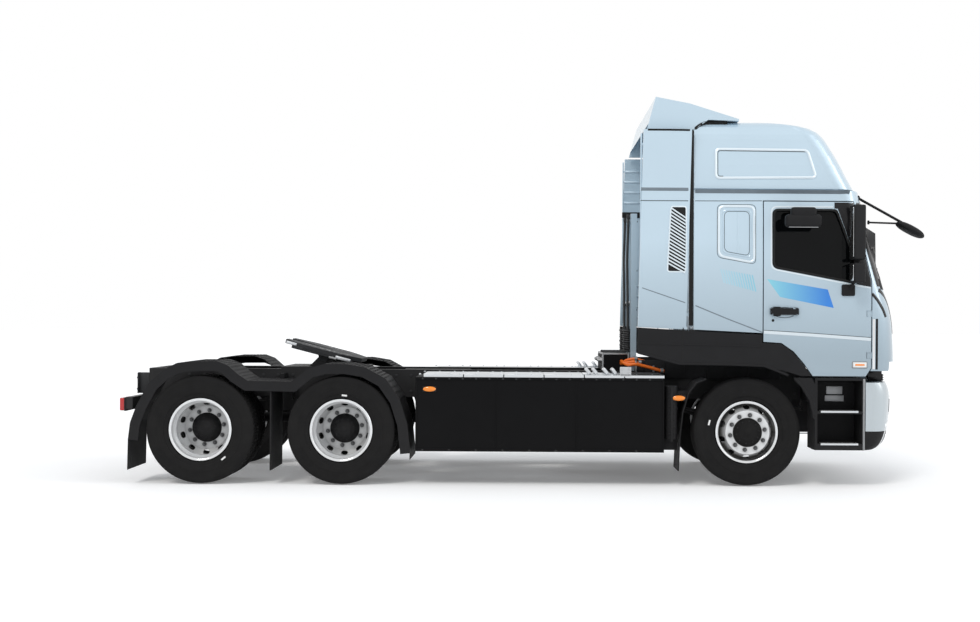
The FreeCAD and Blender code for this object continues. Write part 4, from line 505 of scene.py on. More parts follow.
def patches(name, body, material, place, thick, quads, columns=10, rows=6):
    """Thin patches, in millimetres, each laid on the skin between four corners, as one piece."""
    work = bmesh.new()
    wide = columns + 1
    count = wide * (rows + 1)
    rim = [c for c in range(columns)] + [columns + r * wide for r in range(rows)]
    rim += [count - 1 - c for c in range(columns)] + [(rows - r) * wide for r in range(rows)]
    for quad in quads:
        a, b, c, d = [Vector(corner) for corner in quad]
        grid = []
        for lift in (thick / 1000, -0.001):
            for r in range(rows + 1):
                for column in range(wide):
                    u = column / columns
                    at = a.lerp(b, u).lerp(d.lerp(c, u), r / rows)
                    grid.append(work.verts.new(place(at.x, at.y, lift)))
        for r in range(rows):
            for k in range(r * wide, r * wide + columns):
                work.faces.new([grid[i] for i in (k, k + 1, k + 1 + wide, k + wide)])
                work.faces.new([grid[count + i] for i in (k, k + wide, k + 1 + wide, k + 1)])
        for k, j in zip(rim, rim[1:] + rim[:1]):
            work.faces.new([grid[k], grid[j], grid[count + j], grid[count + k]])
    return piece(name, mesh_of(name, work), body, material)


def rounded_path(points, radius, closed, steps=5):
    """The outline with its corners rounded."""
    result = []
    count = len(points)
    for k, point in enumerate(points):
        if not closed and k in (0, count - 1):
            result.append(point)
            continue
        before, after = points[k - 1], points[(k + 1) % count]
        reach = min(radius, (before - point).length / 2.2, (after - point).length / 2.2)
        first = point + (before - point).normalized() * reach
        last = point + (after - point).normalized() * reach
        for s in range(steps + 1):
            t = s / steps
            result.append(first * (1 - t) ** 2 + point * 2 * t * (1 - t) + last * t * t)
    return result


def divided(points, step, closed):
    """The same path with points at most a step apart."""
    result = []
    for a, b in zip(points, points[1:] + points[:1] if closed else points[1:]):
        parts = max(1, math.ceil((b - a).length / step))
        result += [a.lerp(b, k / parts) for k in range(parts)]
    return result if closed else result + points[-1:]


def strip(name, body, material, place, wide, thick, points, radius=0, closed=False, crown=0.6, step=60,
          sink=1):
    """A narrow raised strip along a path on the skin, higher along its middle, in millimetres."""
    points = [Vector(point) for point in points]
    if radius:
        points = rounded_path(points, radius, closed)
    points = divided(points, step, closed)
    work = bmesh.new()
    rows = []
    count = len(points)
    section = ((-0.5, -sink), (-0.42, thick * crown), (0, thick), (0.42, thick * crown), (0.5, -sink))
    for k, point in enumerate(points):
        before = points[k - 1] if closed or k else point
        after = points[(k + 1) % count] if closed or k + 1 < count else point
        along = (after - before).normalized()
        across = Vector((-along.y, along.x)) * wide
        rows.append([work.verts.new(place(*(point + across * u), lift / 1000)) for u, lift in section])
    for first, second in zip(rows, rows[1:] + rows[:1] if closed else rows[1:]):
        for j in range(5):
            work.faces.new((first[j - 1], first[j], second[j], second[j - 1]))
    if not closed:
        work.faces.new(rows[0])
        work.faces.new(rows[-1])
    return piece(name, mesh_of(name, work), body, material)


# Wheels and tyres

TREAD_RADIUS, TREAD_DEPTH, BLOCKS_ROUND = 522, 13, 52
SIDEWALL = [(107, 285.5), (109, 300), (128, 313), (139, 345), (144.5, 348), (146.5, 352), (148.5, 397),
            (149, 402), (146.5, 405), (145.5, 440), (143.5, 470), (144.5, 474), (141, 488), (134, 504),
            (126, 512)]


def tread_at(y):
    """The tread's radius at a distance from the tyre's middle plane."""
    return TREAD_RADIUS - 10 * (y / 126) ** 2


def tyre_of(name, tread, steps):
    """A tyre about Y from its sidewall and one half of its tread."""
    side = SIDEWALL + tread
    return turned(name, side + [(-y, r) for y, r in reversed(side) if y], steps)


def ribbed(name):
    """A tyre with ribs, for the steered axle."""
    tread = []
    for low, high in ((124, 88), (78, 52), (43, 17), (8, 0)):
        tread += [(low, tread_at(low)), (high, tread_at(high))]
        if high:
            foot = tread_at(high) - TREAD_DEPTH
            tread += [(high - 1.5, foot), (high - 7.5, foot)]
    return tyre_of(name, tread, 120)


def blocked(name):
    """A tyre with rows of blocks, for the driven axles."""
    floor_at = TREAD_RADIUS - TREAD_DEPTH
    tread = [(124, TREAD_RADIUS - 19), (60, floor_at - 3), (0, floor_at)]
    work = bmesh.new()
    take(work, tyre_of(name, tread, 96))
    rows = ((-128, -86, 0, 10), (-78, -40, 0.5, 6), (-32, -3, 0, 4), (3, 32, 0.5, -4), (40, 78, 0, -6),
            (86, 128, 0.5, -10))
    for low, high, shift, skew in rows:
        for k in range(BLOCKS_ROUND):
            rings = []
            for inset, lift in ((0, -18), (0, -1.5), (1.8, 0)):
                ring = []
                for y, u in ((low, 0.09), (low, 0.91), (high, 0.91), (high, 0.09)):
                    lean = -skew if y == low else skew
                    turn = 2 * math.pi * (k + shift + u) / BLOCKS_ROUND + lean / TREAD_RADIUS
                    turn += (inset if u < 0.5 else -inset) / TREAD_RADIUS
                    r = (tread_at(y) + lift) / 1000
                    along = y + (inset if y == low else -inset)
                    ring.append(work.verts.new((r * math.cos(turn), along / 1000, r * math.sin(turn))))
                rings.append(ring)
            for first, second in zip(rings, rings[1:]):
                for j in range(4):
                    work.faces.new((first[j - 1], first[j], second[j], second[j - 1]))
            work.faces.new(rings[-1])
            work.faces.new(rings[0])
    return mesh_of(name, work)


def mark(name, turn, radius):
    """A short paint mark on the outer sidewall, which faces negative Y, at a turn in degrees."""
    work = bmesh.new()
    angle = math.radians(turn)
    lump(work, (-0.025, -0.1502, -0.008), (0.025, -0.1440, 0.008), 0.0006, 1)
    at = Matrix.Translation((radius * math.cos(angle), 0, radius * math.sin(angle)))
    spin = Matrix.Rotation(-(angle + math.pi / 2), 4, "Y")
    bmesh.ops.transform(work, matrix=at @ spin, verts=work.verts)
    return mesh_of(name, work)


def nuts(name, face, count, ring, size, proud):
    """Wheel nuts with stud ends round the hub, outside towards negative Y."""
    work = bmesh.new()
    levels = [face + 0.002, face - 0.004, face - proud * 0.62, face - proud * 0.7, face - proud]
    widths = ((size * 1.25, 20, None), (size, 6, None), (size, 6, size * 0.8), (size * 0.62, 12, size * 0.55))
    for k in range(count):
        turn = 2 * math.pi * k / count + 0.17
        x, z = ring * math.cos(turn), ring * math.sin(turn)
        for near, far, (radius, sides, end_radius) in zip(levels, levels[1:], widths):
            rod(work, (x, near, z), (x, far, z), radius, sides, end_radius)
    return mesh_of(name, work)


def valve(name, radius, face):
    """A valve stem and its cap, which point to negative Y."""
    work = bmesh.new()
    rod(work, (radius, face, 0), (radius, face - 0.03, 0), 0.006, 12)
    rod(work, (radius, face - 0.03, 0), (radius, face - 0.042, 0), 0.0045, 10, 0.004)
    return mesh_of(name, work)


rib_tyre = ribbed("rib_tyre")
block_tyre = blocked("block_tyre")
lip = turned("rim_lip", [
    (-127.5, 284.5), (-129, 287), (-130.5, 293), (-131, 298.5), (-129, 301), (-126.2, 300.5), (-125.5, 297),
    (-126.2, 290.5), (-124.5, 284.5)], 120)
cover = turned("hub_cover", [
    (-163, 0), (-163, 140.5), (-166, 140), (-167.2, 138.5), (-167.5, 120), (-173.5, 118), (-176.5, 114),
    (-178, 100), (-183, 93), (-188.5, 81), (-190.5, 74), (-191.5, 60), (-189.5, 30), (-192.5, 24),
    (-192.5, 0)], 72)
dome = turned("hub_dome", [
    (163, 0), (163, 143.5), (158, 143.5), (153, 139.5), (135, 128), (115, 116.5), (105, 108.5), (99, 104),
    (85.5, 62), (82, 54), (82, 33), (79, 29), (79, 0)], 72)
FRONT_PARTS = (("rim_lip", lip, CHROME), ("hub_cover", cover, TYRE),
               ("hub_bolts", nuts("hub_bolts", -0.1765, 10, 0.107, 0.008, 0.014), BLACK),
               ("nuts", nuts("front_nuts", -0.164, 10, 0.1675, 0.0165, 0.042), NUT),
               ("valve", valve("front_valve", 0.262, -0.062), IRON),
               ("marks", mark("front_mark", 166, 0.376), WHITE))
DRIVE_PARTS = (("rim_lip", lip, CHROME), ("hub_dome", dome, BLACK),
               ("dome_bolts", nuts("dome_bolts", 0.0965, 12, 0.092, 0.007, 0.014), BLACK),
               ("nuts", nuts("rear_nuts", 0.161, 10, 0.1675, 0.0165, 0.040), NUT),
               ("valve", valve("rear_valve", 0.252, 0.10), IRON))
first_mark, second_mark = mark("first_mark", 84.4, 0.337), mark("second_mark", -49.8, 0.356)
for side, sign in SIDES:
    turn = (0, 0, 0) if sign < 0 else (0, 0, math.pi)
    body, at = f"front_wheel_{side}", spot(0, sign * FRONT_TRACK, WHEEL_MIDDLE)
    piece(f"front_tread_{side}", rib_tyre, body, TYRE, at, turn, (f"front_tyre_{side}",), 30)
    for label, mesh, material in FRONT_PARTS:
        piece(f"front_{label}_{side}", mesh, body, material, at, turn)
    for axle, x, painted in (("drive_1", FIRST_DRIVE, first_mark), ("drive_2", SECOND_DRIVE, second_mark)):
        body, at = f"{axle}_wheel_{side}", spot(x, sign * OUTER_TRACK, WHEEL_MIDDLE)
        inner = spot(x, sign * INNER_TRACK, WHEEL_MIDDLE)
        piece(f"{axle}_outer_tread_{side}", block_tyre, body, TYRE, at, turn, (f"{axle}_tyre_{side}",), 30)
        piece(f"{axle}_inner_tread_{side}", block_tyre, body, TYRE, inner, turn, (), 30)
        for label, mesh, material in (*DRIVE_PARTS, ("marks", painted, WHITE)):
            piece(f"{axle}_{label}_{side}", mesh, body, material, at, turn)


# Cab sides: seams, creases, frames, painted highlights and painted shade lines, each with place, finish,
# width, height, path, corner radius, closed

SIDE_STRIPS = (
    ("window_rubber", "door", RUBBER, 26, 4,
     [(232, 2112), (1017, 1965), (1017, 2169), (833, 2661), (232, 2661)], 45, True),
    ("window_edge", "door", HIGHLIGHT_PAINT, 16, 3.5,
     [(1160, 1918), (1020, 1940), (212, 2094), (212, 2690), (800, 2690)], 55),
    ("door_crease", "door", HIGHLIGHT_PAINT, 34, 6, [(141, 1488), (600, 1462), (1166, 1424)]),
    ("door_line", "door", RUBBER, 5, 0.8, [(141, 1507), (600, 1481), (1166, 1443)]),
    ("quarter_frame", "shell", HIGHLIGHT_PAINT, 24, 12, [(-293, 2693), (46, 2693), (46, 2152), (-293, 2215)], 60, True),
    ("quarter_inner", "shell", PAINT, 14, 8, [(-252, 2655), (12, 2655), (12, 2205), (-252, 2248)], 35, True),
    ("quarter_split", "shell", PAINT, 20, 4, [(-108, 2640), (-108, 2240)]),
    ("quarter_shade", "shell", SHADE, 6, 1.4, [(-308, 2708), (61, 2708), (61, 2137), (-308, 2202)], 50, True),
    ("quarter_sill_shade", "shell", SHADE, 6, 1.4,
     [(-240, 2643), (0, 2643), (0, 2218), (-240, 2260)], 50, True),
    ("shell_crease", "shell", GROOVE_SHADE, 12, 1.2, [(-515, 1738), (-200, 1610), (127, 1486)]),
    ("shell_seam", "shell", RUBBER, 7, 0.7, [(-520, 2742), (-200, 2743), (120, 2746)]),
    ("flank_crease", "flank", GROOVE_SHADE, 10, 1.2, [(-1025, 1905), (-800, 1829), (-612, 1765)]),
    ("flank_seam", "flank", SHADE, 9, 2, [(-1045, 2740), (-800, 2740), (-588, 2740)]),
    ("flank_groove", "flank", GROOVE_SHADE, 34, 2, [(-1040, 2850), (-800, 2850), (-588, 2850)]),
    ("deck_seam", "flank", RUBBER, 20, 2, [(-980, 3419), (-770, 3419), (-575, 3417)]),
    ("vent_frame", "flank", HIGHLIGHT_PAINT, 18, 4, [(-783, 2062), (-610, 2062), (-608, 2684), (-752, 2684)], 25, True),
    ("roof_frame", "roof", HIGHLIGHT_PAINT, 26, 12, [(-320, 3245), (560, 3238), (640, 2975), (-320, 2965)], 40, True),
    ("roof_shade", "roof", SHADE, 8, 1.6, [(560, 3222), (-302, 3228), (-302, 2982), (-250, 2982)], 30),
    ("roof_groove", "shell", GROOVE_SHADE, 36, 3, [(-520, 2833), (400, 2833), (960, 2833)]),
    ("roof_seal", "over", RUBBER, 30, 6, [(-544, 3412), (-488, 3470), (-420, 3504), (-200, 3508)], 60),
    # Painted highlight: a bright metal strip where the cab's front corner catches the light
    ("corner_light", "shell", CHROME, 26, 3, [(1194, 1618), (1194, 1380), (1194, 1140)]),
    ("corner_sweep", "shell", GLOSS, 32, 4, [(1176, 1862), (1232, 1800), (1290, 1708), (1318, 1640)], 60),
    ("corner_slit", "shell", RUBBER, 24, 1.5, [(1222, 1622), (1222, 1380), (1222, 1136)]),
    ("skirt_seam", "skirt", RUBBER, 9, 1.6, [(-635, 1176), (-635, 1350), (-628, 1525)]),
    ("skirt_line_rear", "skirt", BLACK, 22, 4, [(-1040, 1372), (-645, 1366)]),
    ("skirt_line_front", "skirt", BLACK, 22, 4, [(-622, 1366), (-200, 1360), (120, 1350)]),
    ("arch_bead", "skirt", BLACK, 24, 6,
     [(-1036, 1282), (-669, 1182), (-186, 1177), (150, 1166), (356, 1086), (378, 1076)]),
    ("flare_bead", "flare", BLACK, 22, 6, [(450, 1040), (506, 981), (590, 842), (628, 690)]),
)


def oval(middle, wide, high):
    """Twenty-four points round an oval."""
    angles = [a * math.pi / 12 for a in range(24)]
    return [(middle[0] + wide * math.cos(a), middle[1] + high * math.sin(a)) for a in angles]


for side, sign in SIDES:
    body = f"door_{side}"
    skins = {"door": (body, 1.25), "shell": ("cab_shell", 1.25), "roof": ("high_roof", 1.25),
             "flank": ("side_deflectors", 1.244), "over": ("high_roof roof_deflector", 1.115),
             "skirt": ("cab_skirts", 1.246), "flare": ("steps", 1.244)}
    places = {key: side_place(skin_of(*names.split()), sign, spare) for key, (names, spare) in skins.items()}
    bodies = {"door": body, "flare": "chassis"}
    for name, where, material, *rest in SIDE_STRIPS:
        strip(f"{name}_{side}", bodies.get(where, "cab"), material, places[where], *rest)
    on_door = places["door"]
    patches(f"door_pillar_{side}", body, GLOSS, on_door, 1.6,
            [[(1026, 1951), (1165, 1926), (1165, 1992), (1026, 2176)],
             [(1026, 2176), (1165, 1992), (1000, 2734), (846, 2674)],
             [(815, 2676), (846, 2674), (1000, 2734), (815, 2734)]])
    printed = [(295, 1825), (809, 1723), (751, 1899), (170, 1996)]
    patches(f"decal_{side}", body, DECAL, on_door, 0.6, [printed], 30, 8)
    stripes, slats = [], []
    for k in range(13):
        x, low, high = -279 + k * 25, 1957 - 80 * k / 12, 2090 - 56 * k / 12
        stripes.append([(x + 34, low), (x + 47, low - 2), (x + 13, high - 2), (x, high)])
    patches(f"stripes_{side}", "cab", STRIPES, places["shell"], 0.6, stripes, 1, 10)
    vent, beside = [(-780, 2066), (-612, 2066), (-612, 2680), (-750, 2680)], flat_place(1244, sign)
    patches(f"vent_back_{side}", "cab", RUBBER, beside, 3, [vent], 3, 6)
    for level in range(2676, 2147, -33):
        edge = -750 - 30 * (2680 - level) / 614
        slats.append([(edge, level - 15), (-614, level - 105), (-614, level - 90), (edge, level)])
    patches(f"vent_slats_{side}", "cab", HIGHLIGHT_PAINT, beside, 10, slats, 4, 2)
    pillar, screen = [(1211, 1932), (1090, 1932), (1040, 2738), (1196, 2738)], skin_of("cab_shell")
    patches(f"front_pillar_{side}", "cab", GLOSS, front_place(screen, sign), 1.6, [pillar], 6, 14)
    bowl, ring = oval((335, 1676), 118, 62), oval((335, 1676), 106, 50)
    strip(f"handle_bowl_{side}", body, PAINT, on_door, 20, 4, bowl, closed=True, crown=0.8)
    # Painted shade: a dark ring round the handle's recess
    strip(f"handle_shade_ring_{side}", body, SHADE, on_door, 7, 1.2, ring, closed=True, crown=0.5)

pair("flank_seal", "cab", RUBBER, (bar, (-573, 1205, 1545), (-534, 1233, 3415), 6))
pair("marker_base", "door_{}", STEEL, (bar, (985, 1237, 1146), (1135, 1255, 1214), 8, 3))
pair("marker_lens", "door_{}", WHITE, (bar, (995, 1247, 1155), (1125, 1259, 1205), 5, 3))
pair("marker_glow", "door_{}", AMBER, (bar, (1015, 1254, 1172), (1105, 1262, 1188)))
pair("door_handle", "door_{}", BLACK, (bar, (196, 1254, 1648), (474, 1284, 1724), 14, 3),
     (bar, (222, 1262, 1640), (300, 1288, 1732), 14, 3), (pin, (228, 1249, 1600), (228, 1253, 1600), 13, 16))


# Windscreen, wipers and front panel

glassy, panel = front_place(skin_of("windscreen")), skin_of("front_lid", "cab_shell")
face = front_place(panel)
strip("screen_rubber", "cab", RUBBER, front_place(skin_of("cab_shell", "windscreen")), 34, 6,
      [(-1088, 2012), (1088, 2012), (1034, 2758), (-1034, 2758)], 90, True, 0.7, sink=4)
patches("screen_band", "cab", GLOSS, glassy, 1.2,
        [[(-1030, 2034), (1030, 2034), (1028, 2090), (-1028, 2090)],
         [(-985, 2690), (985, 2690), (982, 2738), (-982, 2738)]], 24, 2)
patches("cowl_band", "cab", BLACK, face, 4,
        [[(-1170, 1905), (1170, 1905), (1150, 1992), (-1150, 1992)],
         [(-1150, 1992), (1150, 1992), (1150, 2008), (-1150, 2008)]], 40, 4)
for side, sign in SIDES:
    strip(f"corner_trim_{side}", "cab", GLOSS, front_place(panel, sign), 46, 5,
          [(1206, 1900), (1150, 1862), (1075, 1800), (985, 1690), (975, 1480)], 120, crown=0.9, step=40)
for k, level in enumerate((1835, 1785, 1735)):
    ends = [(-760, level), (760, level)]
    strip(f"lid_slot_{k}", "front_lid", GLOSS, face, 22, 3, ends, crown=0.2, step=40)
strip("lid_crease", "front_lid", PAINT, face, 30, 7, [(-780, 1560), (780, 1560)], crown=0.7, step=40)


def wiper(name, foot, tip, low, high):
    """A wiper whose arm runs from foot to tip and whose blade lies between two places on the glass."""
    base, end = face(*foot, 0.008), glassy(*tip, 0.030)
    bend = base.lerp(end, 0.5) + Vector((0.018, 0, 0))
    blade = [glassy(*Vector(low).lerp(Vector(high), k / 10), 0.018) for k in range(11)]
    back = Vector((0.012, 0, 0))
    fitted(name, "cab", BLACK,
           (rod, base - Vector((0.02, 0, 0)), base + back, 0.019, 20, 0.015),
           (rod, base + back / 2, bend, 0.011, 8, 0.008), (rod, bend, end, 0.008, 8, 0.005),
           *[(rod, a, b, 0.007, 8) for a, b in zip(blade, blade[1:])],
           *[(rod, a - back, b - back, 0.0035, 6) for a, b in zip(blade, blade[1:])],
           (rod, end - back / 6, blade[5], 0.007, 8))


wiper("wiper_right", (-180, 1955), (-560, 2140), (-940, 2110), (-170, 2150))
wiper("wiper_left", (420, 1955), (60, 2140), (-60, 2115), (720, 2165))


# Mirrors

OUTLINE = ((947, 1484), (1070, 1430), (1077, 1276), (947, 1276))
FRONT_MIRROR_Y = -1020
heads = [(prism, [(*at, low) for at in OUTLINE], [(*at, high) for at in OUTLINE], 22, 4, 0.6)
         for low, high in ((2180, 2700), (1960, 2150))]
pair("mirror_housing", "door_{}", BLACK, *heads,
     (bar, (990, 1345, 2644), (1034, 1215, 2672), 8), (bar, (990, 1345, 1988), (1034, 1238, 2016), 8),
     (bar, (992, 1344, 1985), (1032, 1309, 2668), 12, 3), (bar, (882, 1240, 1838), (1010, 1274, 1948), 16, 4),
     (pin, (960, 1268, 1900), (1000, 1315, 2000), 14), stands_for=("mirror_{}",), angle=45)
pair("mirror_glass", "door_{}", CHROME, (bar, (943, 1455, 2205), (950, 1300, 2675)),
     (bar, (943, 1455, 1980), (950, 1300, 2130)))
fitted("kerb_mirror_housing", "door_right", BLACK, (bar, (300, -1509, 2478), (640, -1391, 2600), 34, 4),
       (bar, (352, -1500, 2560), (592, -1400, 2668), 30, 4),
       (bar, (409, -1400, 2640), (465, -1225, 2670), 10, 3))
fitted("kerb_mirror_glass", "door_right", CHROME, (bar, (330, -1484, 2476), (610, -1416, 2488), 4))


def dish(work):
    """Adds the front mirror's head, flatter below than above and tipped to the screen."""
    for v in bmesh.ops.create_uvsphere(work, u_segments=32, v_segments=16, radius=1.0)["verts"]:
        x, y, z = [math.copysign(abs(c) ** power, c) for c, power in zip(v.co, (0.8, 0.8, 0.9))]
        v.co = (x * 0.150, y * 0.112, z * (0.046 if z > 0 else 0.034))
    tip = Matrix.Translation(spot(1596, FRONT_MIRROR_Y, 2487)) @ Matrix.Rotation(math.radians(28), 4, "Y")
    bmesh.ops.transform(work, matrix=tip, verts=work.verts)


arms = [(1086, 2798, 1520, 2560, 13, 14), (1520, 2560, 1590, 2500, 13, 14),
        (1082, 2800, 1100, 2790, 26, 20, 20), (1190, 2560, 1545, 2550, 9, 12),
        (1186, 2560, 1200, 2560, 20, 16)]
arms = [(pin, (x, FRONT_MIRROR_Y, z), (far, FRONT_MIRROR_Y, top), *sizes) for x, z, far, top, *sizes in arms]
fitted("front_mirror_housing", "cab", BLACK, (dish,), *arms, stands_for=("front_mirror",))


# Lamps at the sides and the tail

def oval_lens(work, place):
    """Adds a flat round lens about a place in millimetres from the axle."""
    for v in bmesh.ops.create_uvsphere(work, u_segments=28, v_segments=14, radius=1.0)["verts"]:
        v.co = Vector((v.co.x * 0.065, v.co.y * 0.016, v.co.z * 0.026)) + spot(*place)


SIDE_LAMPS = ((-664, 1202, 849), (-3055, 1237, 924))
fitted("amber_lenses", "chassis", AMBER, *both(*[(oval_lens, place) for place in SIDE_LAMPS]),
       stands_for=("side_lamps",))
fitted("amber_bases", "chassis", RUBBER,
       *both(*[(bar, (x - 66, y - 2, z - 27), (x + 66, y + 5, z + 27)) for x, y, z in SIDE_LAMPS]))
lenses = [(bar, (-6027, low, 698), (-5978, high, 821), 10, 3)
          for low, high in ((890, 985), (991, 1060), (1066, 1135), (1141, 1216))]
fitted("tail_lenses", "chassis", RED, *both(*lenses), stands_for=("tail_lamps",))
fitted("tail_lamp_trays", "chassis", BLACK, *both((bar, (-5985, 884, 694), (-5960, 1221, 825), 8, 3)))


# Battery boxes and their covers

middles = [BOX_START + BOX_PITCH * k + 190 for k in range(BOX_COUNT)]
seams = range(BOX_START + BOX_PITCH * 2, -900, BOX_PITCH * 2)
lean = Matrix.Rotation(math.radians(-38), 4, "Y")
pair("battery_edges", "chassis", BOXES, (bar, (-3186, 1230, 1012), (-808, 1242, 1038), 4),
     (bar, (-3186, 1230, 329), (-808, 1241, 352), 4),
     *[(bar, (x - 6, 1230, 356), (x + 6, 1238, 1008), 2) for x in seams],
     *[(bar, (x, 1230, 352), (x + 17, 1240, 1012)) for x in (-3187, -824)])
pair("battery_bolts", "chassis", IRON,
     (bolts, [(x, 1241, 1025) for x in range(-3120, -840, 128)], (0, 1, 0), 6, 6),
     (bolts, [(x, 1240, 340) for x in range(-3120, -840, 256)], (0, 1, 0), 6, 6))
places = [(x + dx, y, 1064) for x in middles for dx in (-150, 0, 150) for y in (1200, 560)]
pair("cover_bolts", "chassis", ALU, (bolts, places, (0, 0, 1), 8, 9),
     *[(bar, (x - 120, 620, 1060), (x + 120, 1140, 1068)) for x in middles])
pair("slanted_ribs", "chassis", ALU,
     *[(bar, (x - 15, 1190, 1070), (x + 15, 960, 1132), 6, 2, lean) for x in (-1534, -1468, -1364, -1283)],
     *[(bar, (-1580, y, 1062), (-1250, y - 30, 1078), 4) for y in (1150, 1030)])
pair("grey_bracket", "chassis", PLATE, (bar, (-1232, 1236, 1052), (-1123, 1222, 1146), 6),
     (bar, (-1232, 1236, 1062), (-1123, 1080, 1076), 4), (bar, (-1186, 1226, 1070), (-1168, 1110, 1130), 4),
     (bolts, [(x, 1236, z) for x in (-1212, -1143) for z in (1085, 1126)], (0, 1, 0)))
pair("front_cover", "chassis", IRON, (bar, (-1120, 1234, 1062), (-812, 620, 1072), 4),
     *[(bar, (-1090, y, 1070), (-850, y - 100, 1082), 5) for y in (1190, 980)])


# Control box and its cables

EDGES = ((-1353, -404, 1243, -1080, -392, 1261), (-1353, 392, 1243, -1080, 404, 1261),
         (-1355, -404, 1243, -1341, 404, 1261), (-1092, -404, 1243, -1079, 404, 1261),
         (-1356, -405, 1082, -1338, -388, 1258), (-1356, 388, 1082, -1338, 405, 1258),
         (-1095, -405, 1082, -1079, -388, 1258), (-1095, 388, 1082, -1079, 405, 1258))
fitted("control_box_edges", "chassis", STEEL, *[(bar, row[:3], row[3:], 4) for row in EDGES])
fitted("control_box_fins", "chassis", IRON,
       *[(bar, (-1330, y, 1255), (-1104, y + 12, 1276)) for y in range(-350, 351, 70)])
plugs = [(pin, (x, y, 1185), (end, y, 1185), *sizes) for y in (150, 240, 330)
         for x, end, *sizes in ((-1345, -1378, 26, 24, 22), (-1378, -1396, 16, 20, 14))]
places = [(-1349, y, z) for y in (-370, 370) for z in (1110, 1225)]
fitted("control_box_plugs", "chassis", STEEL, *both(*plugs), (bolts, places, (-1, 0, 0), 9, 10))


def run(points, radius, sides):
    """A tube part through places in millimetres from the axle."""
    return tube, [spot(*point) for point in points], radius, sides


loops = []
for k, (y, low, high) in enumerate(((-470, 1120, 1205), (-560, 1100, 1180), (-650, 1085, 1160))):
    points = [(-1160, -390, 1150 + 14 * k), (-1120, y, high - 20), (-1040, y - 20, high),
              (-960, y - 10, high - 22), (-880, y, high - 40), (-810, y + 10, low + 12), (-750, y + 20, low)]
    loops.append(run(points, 0.017, 12))
fitted("orange_loops", "chassis", ORANGE, *loops)
clamps = ((-1020, -492, 1203), (-985, -580, 1170), (-770, -456, 1126), (-770, -546, 1104), (-770, -636, 1090))
fitted("cable_clamps", "chassis", STEEL,
       *[(pin, (x - 14, y, z), (x + 14, y, z), 25, 20) for x, y, z in clamps],
       (bar, (-1035, -470, 1072), (-1015, -600, 1190), 4), (bar, (-860, -450, 1072), (-840, -600, 1140), 4))


# Air hoses with their coils

COIL_TURNS, TURN_STEPS, COIL_TOP, COIL_TALL = 10, 10, 1500, 226
HOSE_X, HOSE_Y = -1084, 240
runs = []
for y in (-HOSE_Y, HOSE_Y):
    points = [(HOSE_X, y, 2680), (-1086, y - 2, 2500), (-1096, y + 6, 2250), (-1090, y - 4, 1950),
              (-1086, y + 3, 1700), (HOSE_X, y, COIL_TOP)]
    coil = []
    for k in range(COIL_TURNS * TURN_STEPS + 1):
        angle = 2 * math.pi * k / TURN_STEPS
        reach = 46 + 4 * math.sin(k * 0.37)
        level = COIL_TOP - COIL_TALL * k / (COIL_TURNS * TURN_STEPS)
        coil.append((HOSE_X + reach * math.cos(angle), y + reach * math.sin(angle), level))
    runs += [run(points, 0.0135, 12), run(coil, 0.0095, 8)]
    ends = ((COIL_TOP, 1530), (2650, 2685))
    runs += [(pin, (HOSE_X, y, low), (HOSE_X, y, high), 19, 16) for low, high in ends]
fitted("hose_runs", "chassis", HOSE, *runs, stands_for=("air_hoses",))
clips = [(bar, (-1100, 218, z - 16), (-1058, 262, z + 16), 4) for z in (2655, 1757)]
places = [(-1010, 380, z) for z in (2600, 2100, 1700, 1300)]
fitted("hose_clips", "chassis", IRON, *both(*clips, (bolts, places, (1, 0, 0), 9, 9)))


# Steps and their guards

strips, studs = [], []
for z in (734, 423):
    strips.append((bar, (691, 1236, z - 14), (1052, 1249, z + 4)))
    strips += [(bar, (x, 1150, z - 1), (x + 8, 1240, z + 6), 2, 1) for x in range(698, 1044, 15)]
    for row in range(5):
        y = 940 + row * 42
        starts = range(700 + row % 2 * 15, 1060 + row % 2 * 15, 30)
        studs += [(bar, (x, y, z - 1), (x + 16, y + 16, z + 5), 2, 1) for x in starts]
pair("step_strips", "chassis", ALU, *strips)
pair("step_grip", "chassis", BLACK, *studs, *[(bar, (670, 932, z), (1080, 922, z + 10)) for z in (380, 340)],
     (bar, (668, 933, 990), (1084, 922, 1004), 4),
     (bolts, [(x, 924, z) for x in (690, 880, 1060) for z in (790, 1012, 460, 660)], (0, 1, 0), 7, 7))
pair("blank_plates", "chassis", PLATE, (bar, (813, 922, 882), (970, 931, 959)),
     (bar, (800, 922, 812), (985, 930, 870)),
     (bolts, [(x, 930, z) for x in (822, 961) for z in (890, 951)], (0, 1, 0), 3, 3))
pair("step_trim", "chassis", STEEL, (bar, (1094, 1249, 363), (1116, 1232, 1046), 6, 3))
pair("guard_ribs", "chassis", BLACK,
     *[(bar, (-765, 1206, z), (-695, 1198, z + 10), 2) for z in range(500, 897, 66)],
     (bar, (-742, 1212, 430), (-718, 1196, 962), 5), (bar, (-803, 1100, 342), (-668, 1112, 968), 6),
     (bar, (-800, 1108, 700), (-672, 1124, 724), 4))


# Bumper, lamps and number plates

BOWL = [(30, 0), (28, 20), (10, 42), (-12, 54), (-14, 60), (-10, 61), (14, 46), (33, 20), (35, 0)]


def lamp_bowl(work, middle):
    """Adds a bright bowl that opens forward."""
    part = turned("bowl", BOWL, 40)
    part.transform(Matrix.Translation(middle) @ Matrix.Rotation(math.radians(90), 4, "Z"))
    take(work, part)


